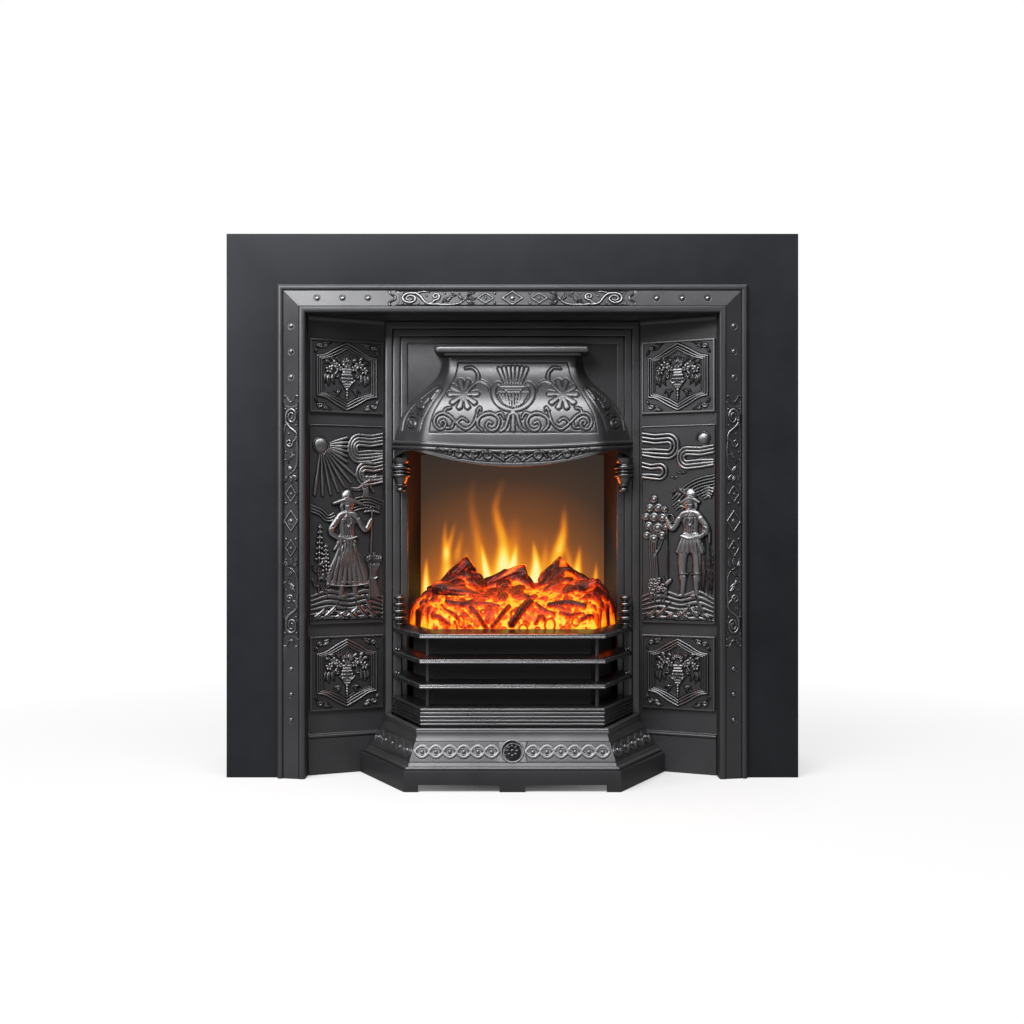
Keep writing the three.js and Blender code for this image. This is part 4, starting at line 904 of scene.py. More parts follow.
def swags(r, at):
    """Flowers that hang from the urn's lips, and leaves round them."""
    for x, z, radius in ((24, 21, 7.5), (33, 11, 6.4), (15, 15, 5.8)):
        r.flower(*at([(x, z)])[0], 1.15 * radius, 5, 4.4)
    for points, wide in (
        ([(32, 5), (35, -6), (33, -20)], 4.0), ([(38, 6), (40.5, -4), (40, -15)], 3.2),
        ([(26, 6), (27, -6), (22, -17)], 3.6), ([(22, 28), (29, 33), (36, 31)], 3.4),
        ([(28, 24), (37, 26), (42, 20)], 3.0), ([(10, 25), (17, 33), (21, 36)], 3.4),
        ([(12, -22), (17, -30), (16, -38)], 3.2), ([(8, -26), (21, -25), (26, -31)], 2.6),
        ([(15, 8), (22, 3), (21, -6)], 2.8),
    ):
        r.leaf(at(points), 1.1 * wide, 4.2)
    r.stroke(at(coil(18, 2, 5, 7, 0.8, 1.6, -1)), 1.7, 3.6, curved=False)
    r.stroke(at([(1, -8), (8, -12), (14, -6)]), 1.6, 4.4, base=0.8)


def flower_urn(r, cx, cz):
    for k in range(7):
        lean = (k - 3) * 0.36
        tip = (cx + 17 * math.sin(lean), cz + 22 + 17 * math.cos(lean))
        r.leaf([(cx, cz + 18), (cx + 8 * math.sin(lean), cz + 20 + 9 * math.cos(lean)), tip], 3.3, 4.2)
    r.flower(cx, cz + 22, 8.4, 6, 4.2, base=1.4)
    for z, radius in ((12, 10.5), (7, 9), (2, 11), (-4, 12), (-10, 11), (-15, 8.5), (-19, 6)):
        r.stroke([(cx - radius + 3, cz + z), (cx + radius - 3, cz + z)], 3.6, 4.6)
    for k in range(-2, 3):
        r.stroke([(cx + k * 3.6, cz + 1), (cx + k * 3.4, cz - 9), (cx + k * 1.5, cz - 18)], 1.3, -1.6)
    for z, radius in ((-24, 3.2), (-29.5, 2.6), (-34.5, 3.0), (-39.5, 2.2), (-43.5, 1.6)):
        r.stamp(cx, cz + z, 1.15 * radius, 4.6)


def flower_tile(tall):
    """Hexagons of parallel ridges round an urn of flowers, with a leaf sprig in each corner."""
    r = tile_ground(tall, 0.62)
    cx, cz = TILE_WIDE / 2, tall / 2
    hexagons(r, cx, cz)
    for side in (-1, 1):
        def at(points):
            return [(cx + side * x, cz + z) for x, z in points]

        corner_sprigs(r, at)
        swags(r, at)
    flower_urn(r, cx, cz)
    r.incise(0.8, 0.7, 1.0)
    return r


def beside(line, away):
    """A line's neighbour, a set distance to its left."""
    line = route(line)
    along = np.gradient(line, axis=0)
    along /= np.maximum(np.linalg.norm(along, axis=1, keepdims=True), 1e-9)
    return line + away * np.stack([-along[:, 1], along[:, 0]], 1)


def ribbons(r, line, count, gap, radius, high):
    for k in range(count):
        r.stroke(beside(line, k * gap), radius, high, curved=False)


def cloud(r, x, z, wide, tall, way, tail):
    """Nested ridges that curl round one end and run out to the tile's edge at `tail`."""
    count = max(int(tall / 6.2), 2)
    for k in range(count):
        share = 1 - k / count
        t = np.linspace(0.5 * math.pi, 1.5 * math.pi, 24)
        curl = np.stack([x + way * wide * share * np.cos(t), z + tall * share * np.sin(t)], 1)
        over = [(tail, z + tall * share + 2.5), ((tail + x) / 2, z + tall * share - 1.5)]
        under = [((tail + x) / 2, z - tall * share + 2), (tail, z - tall * share * 0.7)]
        r.stroke(np.concatenate([over, curl, under]), 3.1, 4.4, curved=False)


class Person:
    """A country figure of no one in particular, 200 mm tall, looking towards `way`."""

    def __init__(self, r, x, foot, way):
        self.r = r
        self.x = x
        self.foot = foot
        self.way = way

    def at(self, points):
        return [(self.x + self.way * a * 1.32, self.foot + b * 1.29) for a, b in points]

    def limb(self, points, radius, high, base=0.0):
        radius = 1.3 * np.asarray(radius)
        self.r.stroke(self.at(points), radius, 1.25 * high if high > 0 else high, base=1.2 * base)

    def legs(self):
        for points in ([(-8, 28), (-9, 6)], [(9, 28), (11, 6)]):
            self.limb(points, [5.2, 4.2], 3.6)
        for points in ([(-13, 3), (-6, 2.5), (2, 1.5)], [(8, 3), (15, 2), (22, 0.5)]):
            self.r.leaf(self.at(points), 4.4, 4.2, vein=False)

    def skirt(self):
        for k in range(8):
            lean = (k - 3.5) / 3.5
            hem = (27 * lean, 21 + 2 * math.cos(3 * lean))
            self.limb([(7 * lean, 84), (14 * lean, 60), (23 * lean, 38), hem], [3.4, 4.4, 5.2, 4.6],
                      4.6 - abs(lean))
            self.limb([(9 * lean + 2, 78), (17 * lean + 2, 54), (26 * lean + 3, 24)], 0.8, -1.5)
        self.limb([(-28, 20), (-12, 17.5), (10, 17.5), (28, 20)], 1.7, 4.8)
        for k in range(5):
            self.limb([(-10 + k * 5, 80), (-9 + k * 4.6, 66), (-10 + k * 5, 44)], [2.6, 3.2, 2.2], 4.2, 1.4)

    def breeches(self):
        for points in ([(-7, 78), (-10, 52), (-9, 26)], [(7, 78), (11, 52), (11, 26)]):
            self.limb(points, [8.6, 7.2, 5.6], 4.6)
        for side in (-1, 1):
            self.limb([(side * 9 - 6, 33), (side * 9 + 7, 33)], 1.3, 5.2)
        for k in range(6):
            lean = (k - 2.5) / 2.5
            self.limb([(8 * lean, 88), (12 * lean, 76), (17 * lean, 64)], [3.6, 4.6, 4.0], 4.8, 0.8)

    def coat(self):
        self.limb([(0, 84), (-1, 98), (0, 112)], [10.5, 11.5, 14], 5.0)
        for k in range(4):
            self.limb([(-6 + 4 * k, 110), (-5 + 3.4 * k, 98), (-4 + 2.8 * k, 88)], 0.75, -1.6)
        self.limb([(-12, 86), (0, 82.5), (12, 86)], [2.6, 3.2, 2.6], 5.2, 1.2)
        self.limb([(-11, 88), (-14, 76), (-19, 68)], [2.6, 3.4, 2.2], 4.4)
        for side in (-1, 1):
            self.limb([(0, 120), (side * 10, 117), (side * 16, 108)], [3.4, 4.6, 4.8], 5.4, 0.6)
            self.limb([(0, 112), (side * 8, 112), (side * 14, 103)], 0.8, -1.6)
            self.limb([(side * 2, 118), (side * 5, 108), (0, 99)], [1.6, 2.0, 1.4], 5.8, 0.8)

    def arms(self):
        self.limb([(-15, 110), (-24, 94), (-13, 84)], [5.4, 5.0, 3.6], 5.4, 1.2)
        self.limb([(-20, 101), (-24, 99)], 0.8, -1.6)
        self.r.stamp(*self.at([(-10, 83)])[0], 3.8, 4.8, base=2.0)
        self.limb([(15, 110), (25, 96), (32, 108)], [5.4, 4.6, 3.4], 5.4, 1.2)
        self.limb([(19, 103), (24, 103)], 0.8, -1.6)
        self.r.stamp(*self.at([(33, 110)])[0], 4.0, 4.8, base=2.0)

    def head(self):
        self.limb([(0, 116), (1, 124)], 4.4, 4.4)
        self.limb([(1, 125), (1.5, 134)], [6.4, 8.2], 6.2)
        for a in (-1.5, 4.5):
            self.limb([(a - 1.2, 130.5), (a + 1.2, 130.5)], 0.9, -0.9)
        self.limb([(1.6, 131), (2.2, 127.5)], [0.9, 1.3], 7.0)
        self.limb([(0.2, 124.3), (3.4, 124.3)], 0.7, -0.9)
        for a in (-6.5, -8.5):
            self.limb([(a, 134), (a - 1.5, 127), (a + 1, 121)], [1.8, 2.2, 1.4], 4.8)

    def hat(self, brim, feather):
        self.limb([(-brim, 133), (0, 138.5), (brim, 132.5)], [2.4, 4.4, 2.4], 6.4, 0.8)
        self.limb([(-1, 142), (0, 146)], [9.5, 7.5], 7.0)
        self.limb([(-10, 140), (0, 142.5), (10, 139.5)], 0.9, -1.6)
        if feather:
            self.r.leaf(self.at([(6, 142), (16, 150), (24, 143)]), 3.4, 5.6)


def person(r, x, foot, way, in_skirt):
    figure = Person(r, x, foot, way)
    figure.legs()
    if in_skirt:
        figure.skirt()
        figure.hat(20, feather=False)
    else:
        figure.breeches()
        figure.hat(13, feather=True)
    figure.coat()
    figure.arms()
    figure.head()


def furrows(r, low, high, rows, lift):
    """Rough ground: swelling ridges one behind another, with broad blades of grass across them."""
    for k in range(rows):
        t = k / (rows - 1)
        z = mix(low, high, t)
        bow = lift * (0.35 + t)
        line = [(3, z), (36, z + bow), (74, z + 0.2 * bow), (106, z + 0.9 * bow), (135, z - 0.3 * bow)]
        r.stroke(line, [2.2, 4.2, 3.0, 4.4, 2.4], 3.4 - 0.8 * t)
    for x, reach, rise in ((4, 30, 22), (22, 34, 30), (44, 28, 16), (132, -34, 26), (112, -30, 34),
                           (92, -26, 18), (64, 30, 24), (76, -32, 12), (124, -22, 44)):
        line = [(x, low), (x + 0.45 * reach, low + 0.35 * rise), (x + reach, low + rise)]
        r.leaf(line, 5.2, 5.0)


def beaded_spike(r, x, z, tall, lean):
    r.stroke([(x, z), (x + lean * 0.3, z + tall * 0.5), (x + lean, z + tall)], 1.7, 3.6)
    for k in range(7):
        up = z + tall * (0.52 + 0.075 * k)
        middle = x + lean * (0.35 + 0.1 * k)
        wide = 5.6 - 0.55 * k
        for side in (-1, 0, 1):
            r.stamp(middle + side * wide, up + abs(side) * -1.5, 3.3 - 0.14 * k, 5.0)
    for side, share in ((-1, 0.1), (1, 0.2), (-1, 0.3), (1, 0.4)):
        foot = (x + lean * share * 0.4, z + tall * share)
        r.leaf([foot, (foot[0] + side * 8, foot[1] + 9), (foot[0] + side * 11, foot[1] + 20)], 4.0, 4.4)


def low_sun(r, x, z):
    for k in range(13):
        turn = math.radians(-98 + 9.6 * k)
        reach = 90 * (1 - 0.34 * (k / 12) ** 2)
        if k > 6:
            reach = min(reach, 48 / max(math.cos(turn), 0.1))   # short of the clouds
        start = (x + 17 * math.cos(turn), z + 17 * math.sin(turn))
        stop = (x + reach * math.cos(turn), z + reach * math.sin(turn))
        r.stroke([start, stop], [1.4, 2.5, 3.3, 2.6], 4.8, 0.3)
    r.stamp(x, z, 13.5, 5.0)
    r.ring(x, z, 14.5, 14.5, 1.2, 2.6)


def mill(r):
    for k in range(5):
        r.stroke([(101 + 1.4 * k, 262 - 0.2 * k), (99 + 2.4 * k, 232)], 1.7, 4.0)
    r.stroke([(100, 262), (107, 266), (113, 262)], [2.4, 4.4, 2.4], 4.6)
    for turn in (0.5, 2.07, 3.64, 5.21):
        tip = (106 + 21 * math.cos(turn), 258 + 21 * math.sin(turn))
        r.stroke([(106, 258), tip], 1.1, 5.2)
        side = (2.6 * math.cos(turn + 1.57), 2.6 * math.sin(turn + 1.57))
        start = (106 + 7 * math.cos(turn) + side[0], 258 + 7 * math.sin(turn) + side[1])
        r.stroke([start, (tip[0] + side[0], tip[1] + side[1])], 1.9, 4.6)
    r.stamp(106, 258, 2.4, 6.0)


def corn_sheaf(r):
    for k in range(9):
        lean = (k - 4) / 4
        r.stroke([(119 + 11 * lean, 48), (119 + 4 * lean, 82), (119 + 12 * lean, 112)], [1.9, 1.7, 1.5], 3.6)
        tip = (119 + 16 * lean, 131 - 6 * abs(lean))
        r.leaf([(119 + 12 * lean, 108), (119 + 14 * lean, 119), tip], 3.0, 4.4)
    r.stroke([(112, 83), (119, 80), (126, 83)], 2.6, 5.0)


def rake(r):
    r.stroke([(110, 44), (113, 120), (115, 202)], 2.0, 5.8)
    r.stroke([(101, 203), (115, 204), (129, 201)], 2.2, 5.6)
    for k in range(6):
        r.stroke([(103 + 5 * k, 203), (102.5 + 5.2 * k, 212)], 1.2, 5.0)


def harvest(r):
    """Left tile: low sun at the outer corner, a mill on its hill, a reaper between corn and flowers."""
    low_sun(r, 21, 322)
    cloud(r, 92, 318, 20, 25, 1, 136)
    cloud(r, 104, 272, 17, 20, 1, 136)
    ribbons(r, [(2, 214), (22, 206), (34, 196), (44, 200)], 3, -5.0, 2.2, 3.8)
    r.leaf([(112, 250), (88, 244), (62, 248)], 4.6, 3.6)
    ribbons(r, [(62, 218), (88, 228), (112, 230), (136, 222)], 5, -5.2, 1.9, 2.8)
    mill(r)
    furrows(r, 10, 50, 6, 7)
    corn_sheaf(r)
    beaded_spike(r, 16, 52, 128, 3)
    beaded_spike(r, 31, 48, 96, -2)
    person(r, 70, 46, 1, in_skirt=True)
    rake(r)


def fruit_tree(r):
    ribbons(r, [(17, 46), (19, 90), (16, 136), (20, 176)], 4, -3.9, 2.1, 3.4)
    r.stroke([(24, 120), (36, 140), (42, 156)], [3.0, 2.4, 1.6], 3.4)
    for x, z, radius in (
        (10, 160, 8), (24, 154, 8.6), (39, 160, 8), (14, 177, 9), (31, 174, 9.4), (46, 175, 7.6),
        (9, 194, 8), (24, 193, 9.4), (40, 192, 8.6), (16, 210, 8.4), (32, 210, 8.8), (24, 226, 8),
        (44, 207, 6.4),
    ):
        r.stamp(x, z, radius, 4.4)
        r.ring(x + 0.6, z - 0.4, radius * 0.5, radius * 0.5, 0.8, -1.4)
        r.stamp(x + 0.6, z - 0.4, radius * 0.26, 2.0, base=3.0)


def reeds(r):
    for x, lean, tall in ((112, -7, 96), (118, 2, 124), (125, 6, 108), (131, 3, 84)):
        r.leaf([(x, 50), (x + lean * 0.3, 50 + tall * 0.5), (x + lean, 50 + tall)], 3.2, 3.6)
    for x, z in ((116, 176), (128, 160)):
        r.stroke([(x - 1, 60), (x, z - 12)], 1.1, 3.0)
        r.stroke([(x, z - 12), (x, z + 8)], 3.2, 4.6)


def crook(r):
    r.stroke([(49, 46), (50, 110), (49, 186)], 1.7, 5.6)
    r.stroke(coil(56, 190, 8, 9, 0.8, math.pi, -1, 0.7), 1.7, 5.6, curved=False)


def sheep(r):
    """A fleece of curls, a head turned back, four short legs."""
    for x, z in ((22, 58), (34, 60), (28, 68), (40, 68), (18, 67), (34, 76), (23, 77), (44, 60)):
        r.stroke(coil(x, z, 6, 6, 1.2, 0.4 * x, 1, 0.2), 2.1, 5.4, curved=False)
    r.stroke([(48, 72), (55, 78)], [5.0, 4.4], 6.0)
    r.leaf([(50, 80), (46, 84), (42, 82)], 2.0, 5.8)
    for x in (19, 26, 38, 44):
        r.stroke([(x, 52), (x, 40)], 2.2, 4.4)


def pasture(r):
    """Right tile: banked clouds over hills, a fruit tree, a herder with a crook, and a sheep."""
    cloud(r, 50, 322, 20, 22, -1, 2)
    cloud(r, 86, 300, 17, 19, 1, 136)
    cloud(r, 34, 276, 14, 14, -1, 2)
    r.stamp(116, 334, 11, 4.6)
    r.ring(116, 334, 12, 12, 1.1, 2.6)
    for x, z in ((62, 262), (76, 270)):     # birds
        for side in (-1, 1):
            r.stroke([(x, z), (x + side * 4, z + 4), (x + side * 9, z + 2.5)], [0.8, 1.6, 0.7], 3.0)
    ribbons(r, [(58, 226), (84, 250), (108, 262), (136, 268)], 6, -5.4, 1.9, 2.8)
    ribbons(r, [(58, 238), (72, 244), (90, 240)], 3, -4.4, 1.6, 2.6)
    furrows(r, 8, 48, 6, 8)
    fruit_tree(r)
    reeds(r)
    person(r, 92, 48, -1, in_skirt=False)
    ribbons(r, [(60, 214), (72, 222), (90, 218)], 3, -4.6, 2.0, 3.6)
    ribbons(r, [(112, 240), (126, 246), (136, 242)], 4, -5.0, 2.2, 3.8)
    crook(r)
    sheep(r)


def picture_tile(tall, other):
    """A country scene of the maker's own, under banked clouds and over ploughed ground."""
    r = Relief((0.4, 0.4), (TILE_WIDE - 0.4, tall - 0.4), 0.7)
    if other:
        pasture(r)
        r.raised, r.sunk = r.raised[:, ::-1], r.sunk[:, ::-1]
    else:
        harvest(r)
    r.incise(0.7, 0.7, 1.2)
    inset = np.minimum(np.minimum(r.x, TILE_WIDE - r.x), np.minimum(r.z, tall - r.z))
    r.raised = np.maximum(r.raised * smooth((inset - 1.0) / 1.5), 2.4 * smooth((2.6 - inset) / 0.9))
    r.raised *= smooth((inset + 0.2) / 1.2) * 0.5 + 0.5
    return r


def tiled_sides():
    for side, word in SIDES:
        side_panel(side, word)
        for part, (low, high) in (("lower", LOWER_TILE), ("upper", UPPER_TILE)):
            tile_piece(f"{word}_{part}_flowers", flower_tile(high - low), side, low,
                       f"{word}_{part}_tile")
        low, high = PICTURE_TILE
        tile_piece(f"{word}_picture", picture_tile(high - low, side > 0), side, low,
                   f"{word}_picture_tile")


# ================= Inner frame =================

def inner_frame():
    wide = REEDS * REED_WIDE
    profile = [(0, FRAME_BACK)]
    for k in reversed(range(REEDS)):
        start, depth = REED_WIDE * (REEDS - 1 - k), FRAME_FACE + REED_STEP * k
        profile += [
            (start + 0.05, depth + 1.7), (start + 0.4, depth + 1.2), (start + 0.9, depth + 0.5),
            (start + 1.8, depth + 0.1), (start + 3.2, depth), (start + 10.8, depth),
            (start + 12.4, depth + 0.1), (start + 13.2, depth + 0.5), (start + 13.7, depth + 1.3),
        ]
    profile += [(wide, 77), (wide, FRAME_BACK)]
    half = INNER_HALF - wide
    frame_piece = arched("reeded_frame", profile, half, OPEN_TOP - wide - 0.3)
    # The reeded frame and its field are burnished lighter as painted fill light in the shaded recess.
    done(frame_piece, "surround", finish["recess"], ["inner_frame"], 30, 0.5)
    low, high = (-half - 1, FIELD_FACE, FIRE_TOP), (half + 1, FRAME_BACK, OPEN_TOP - wide)
    done(rounded("canopy_field", low, high, 0.4), "surround", finish["recess"], shine=0.2)


# ================= Canopy =================

def in_picture(points):
    """Where points of the fireplace fall in the photograph: (px, -py)."""
    scale = PICTURE_SCALE / (CAMERA_DISTANCE + points[..., 1])
    across, down = PICTURE_MIDDLE
    return across + points[..., 0] * scale, (points[..., 2] - CAMERA_HEIGHT) * scale - down


class CanopyRelief(Relief):
    """The canopy's ornament, drawn as it is seen from the front. Units are the picture's, and
    what is drawn for the left half is mirrored on the right."""

    middle = 513.2

    def __init__(self):
        super().__init__((390, -470), (636, -352), 0.5)

    def at(self, points, side):
        points = np.asarray(points, float)
        x = points[:, 0] if side < 0 else 2 * self.middle - points[:, 0]
        return list(zip(x, -points[:, 1]))

    def both(self, points, thick, high=2.2, curved=True):
        for side in (-1, 1):
            line = self.at(route(points, 50) if curved else points, side)
            self.stroke(line, thick, high, 0.35, curved=False)

    def dots(self, x, y, radius, high, soft=0.5):
        for side in (-1, 1):
            self.stamp(*self.at([(x, y)], side)[0], radius, high, soft)

    def scroll(self, x, y, wide, tall, turns, start, way):
        return [(a, -b) for a, b in coil(x, -y, wide, tall, turns, start, way)]


def field_flowers(r):
    for turn in (4, -36, -72, -108, -144, 178, 145, 103, 71):
        turn = math.radians(turn)
        cos, sin = math.cos(turn), -math.sin(turn)
        line = [(463.6 + cos * k, 394.4 + sin * k) for k in (1, 6, 13.4)]
        r.both(line, [1.1, 2.0, 2.8], curved=False)
    r.dots(463.6, 394.4, 4.6, 1.75, 0.3)
    r.both([(466, 392.6), (469.6, 389), (473.9, 384.4), (477.6, 382), (482, 381.6), (486.7, 384),
            (489.4, 387.4), (489.9, 391.2)], [1.5, 1.7, 1.6, 1.2, 0.5])
    r.both([(476.4, 383), (478.4, 378), (477.7, 372.8), (474.7, 369.2), (470.8, 367.5), (465.6, 368.4)],
           [1.5, 1.6, 1.4, 1.2, 1.0])


def foot_scrolls(r):
    r.both([(477.9, 411.8), (476.2, 417), (474.6, 422), (471, 426.8), (465.2, 429.4), (459.4, 426),
            (454, 420.8), (449.2, 416), (442.8, 413.4), (436.8, 416), (434.3, 422.2), (437.6, 428.8),
            (443.2, 428.6), (446, 424.2), (443.6, 420.6), (440.4, 422.6), (441.8, 424.6)],
           [0.8, 1.3, 1.5, 1.5, 1.4, 1.4, 1.3, 1.2])
    r.both([(456.4, 423.8), (459.6, 419.8), (463.2, 418.6), (467.8, 421.8)], [1.2, 1.3, 1.0])
    r.both([(444.4, 412.8), (446, 409.2), (450.8, 408.2)], [1.2, 1.3, 1.0])
    r.both([(447, 428.2), (452.2, 427.4), (453.4, 423)], [1.3, 1.3, 0.8])
    r.both([(482.7, 431), (478.2, 426.6), (478.1, 420), (483.1, 415.2), (490.7, 413.5), (497.4, 417.2),
            (499.4, 423.2), (496.2, 429.4), (490.4, 430.6), (486.6, 426.8), (488.4, 422), (492, 423.6)],
           [1.1, 1.6, 1.6, 1.5, 1.5, 1.3, 1.3])
    r.both([(477.4, 411), (480, 407.6), (481.2, 411.4)], [1.2, 1.2, 0.6])
    r.both([(496.3, 414.6), (501.4, 413.2), (504.4, 418.8)], [1.3, 1.4, 1.0])


def field_urn(r):
    """Flutes, collar, handles, bowl and foot."""
    for k in range(7):
        lean = (k - 3) / 3
        tip = (r.middle + 13.6 * lean, -(367.4 + 1.4 * lean * lean))
        r.stroke([(r.middle + 8.1 * lean, -382.6), tip], [1.25, 1.9], 1.8, 0.4, curved=False)
    r.both([(502.8, 386.2), (513.2, 386.2)], 1.5, 2.1)
    r.both([(505.4, 389.4), (513.2, 389.4)], 1.4, 1.7)
    r.both([(507.4, 391.6), (513.2, 391.6)], 1.3, 1.5)
    r.both([(500.8, 386), (498.4, 383.6), (495.4, 385.8), (493.6, 391), (494.6, 397.6), (499, 404.4),
            (505.4, 408.6), (513.2, 410.4)], [1.5, 2.4, 2.4, 2.6, 2.2, 1.7], 1.9)
    for k in range(9):
        lean = (k - 4) / 4
        foot = (r.middle + 8.6 * lean, -(407 - 3.2 * lean * lean))
        r.stroke([(r.middle + 13.4 * lean, -394), foot], [1.45, 1.0], 1.5, 0.4, curved=False)
    r.both([(513.2, 413.4), (509.6, 415), (507.6, 421.6), (505, 428.6), (500.4, 431.4)],
           [2.0, 1.7, 1.6, 1.5, 1.2])
    r.both([(512.6, 416), (512.4, 431)], [0.9, 1.5])


def side_leaves(r):
    r.both([(401.6, 431), (404, 419.2), (409.6, 409.6), (418.9, 400), (430.1, 390.9), (438.1, 386.2),
            (441, 389.4), (433.5, 400), (427, 410.4), (422.2, 420), (419, 431.4)], 0.75, 1.4)
    for x, y, wide, tall, start in ((411.6, 422.6, 5.4, 7, 1.2), (420.6, 405.2, 4, 4.4, 1.5)):
        for side in (-1, 1):
            line = r.at(r.scroll(x, y, wide, tall, 1.5, start, 1), side)
            r.stroke(line, 1.35, 2.2, 0.4, curved=False)
    r.both([(414, 416), (418, 412.6), (421.6, 416)], [1.0, 1.0, 0.6])
    r.both([(424, 403), (427.6, 398.4), (431.4, 396.4)], [1.1, 1.5, 0.7])
    r.both([(431, 399), (435.6, 391.6), (438.4, 389.6)], [0.9, 1.4, 0.9])


def valance_scrolls(r):
    for x, y, radius, way in ((459.6, 454.2, 3.9, 1), (474.7, 454.8, 4.3, -1), (488.6, 455.6, 4.5, 1),
                              (505, 455.8, 4.9, -1)):
        r.both(r.scroll(x, y, radius, radius, 1.4, 1.8 * way, way), [1.2, 1.5, 1.2], curved=False)
    r.both([(460.6, 451.2), (465.4, 453.6), (470.4, 457.6)], [1.0, 1.1, 0.9])
    r.both([(489.6, 452.4), (494.8, 455), (500.2, 458.8)], [1.0, 1.1, 0.9])
    r.both([(479, 457.6), (483, 452.6), (487.6, 452.2)], [0.9, 1.1, 0.9])
    r.both([(509.6, 456), (513.2, 453.4)], 0.9)
    for x, y, radius in ((450, 452.4, 2.3), (443.4, 450.4, 1.7), (438, 449, 1.3), (513.2, 459.6, 1.3)):
        r.dots(x, y, radius, 1.5)


def incised_lines(r):
    """Round the front field, and along the valance's edge."""
    r.both([(458.6, 362.8), (455.4, 375.4), (450, 385), (444.4, 393.8), (438.6, 403.2), (434.2, 411.2),
            (431.3, 419.4), (429.2, 432.4)], 0.62, -1.3)
    r.both([(458.6, 362.8), (513.2, 362.8)], 0.62, -1.3, curved=False)
    r.both([(429.2, 432.6), (513.2, 432.6)], 0.62, -1.3, curved=False)
    r.both([(430, 449.8), (447.6, 455.2), (462, 458.6), (476, 460.9), (495, 462.2), (513.2, 462.6)],
           0.55, -1.2)


def canopy_carving():
    r = CanopyRelief()
    field_flowers(r)
    foot_scrolls(r)
    field_urn(r)
    side_leaves(r)
    valance_scrolls(r)
    r.incise(1.2, 1.0)
    incised_lines(r)
    return r


def bell(t):
    """The canopy's outline: how far out, and how far down, at t from 0 to 1."""
    (x0, y0), (x1, y1), (x2, y2), (x3, y3) = BELL
    a, b, c, d = (1 - t) ** 3, 3 * t * (1 - t) ** 2, 3 * t * t * (1 - t), t ** 3
    return a * x0 + b * x1 + c * x2 + d * x3, a * y0 + b * y1 + c * y2 + d * y3


class CanopyPlan:
    """The canopy's three faces as columns, from the wall round the front and back to the wall."""

    def __init__(self, pitch):
        count = [int(2 * HOOD_RIM_ARRIS / pitch), int(107 / pitch)]
        self.wall = np.concatenate([np.linspace(1, 0, count[1], endpoint=False), np.zeros(count[0] + 1),
                                    np.linspace(0, 1, count[1] + 1)[1:]])
        self.x = np.concatenate([-np.ones(count[1]), np.linspace(-1, 1, count[0] + 1), np.ones(count[1])])
        reach = max(int(24 / pitch), 1)
        bell_curve = np.exp(-0.5 * (np.arange(-reach, reach + 1) / (reach / 2)) ** 2)
        self.weights = bell_curve / bell_curve.sum()
        self.reach = reach

    def rim(self):
        side = mix(RIM_Z[1], RIM_Z[2], self.wall)
        return np.where(self.wall > 0, side, mix(RIM_Z[0], RIM_Z[1], self.x ** 2))

    def valance(self):
        middle, arris, side, wall = VALANCE_Z
        run = np.interp(self.wall, (0, 0.3, 0.55, 0.8, 1), (arris, side, side + 2, 578, wall))
        return np.where(self.wall > 0, run, mix(middle, arris, self.x ** 2))

    def row(self, s, z, out):
        """One row of points on the skin, its corners eased."""
        arris, end = mix(HOOD_TOP_ARRIS, HOOD_RIM_ARRIS, s), mix(HOOD_TOP_HALF, HOOD_RIM_HALF, s)
        depth = mix(HOOD_TOP_DEPTH, HOOD_RIM_DEPTH, 1 - (1 - s) ** 1.6)
        turn = math.atan2(end - arris, FIELD_FACE - depth)
        corner = arris + out * (1 - math.sin(turn)) / math.cos(turn)
        far = end + out / math.cos(turn)
        x = np.where(self.wall > 0, np.sign(self.x) * mix(corner, far, self.wall), self.x * corner)
        y = mix(depth - out, FIELD_FACE - 0.3, self.wall)
        line = np.stack([x, y, np.broadcast_to(z, x.shape)], 1)
        start = 2 * line[0] - line[self.reach:0:-1]
        stop = 2 * line[-1] - line[-2:-self.reach - 2:-1]
        padded = np.concatenate([start, line, stop])
        eased = [np.convolve(padded[:, k], self.weights, "valid") for k in range(3)]
        return np.stack(eased, 1)


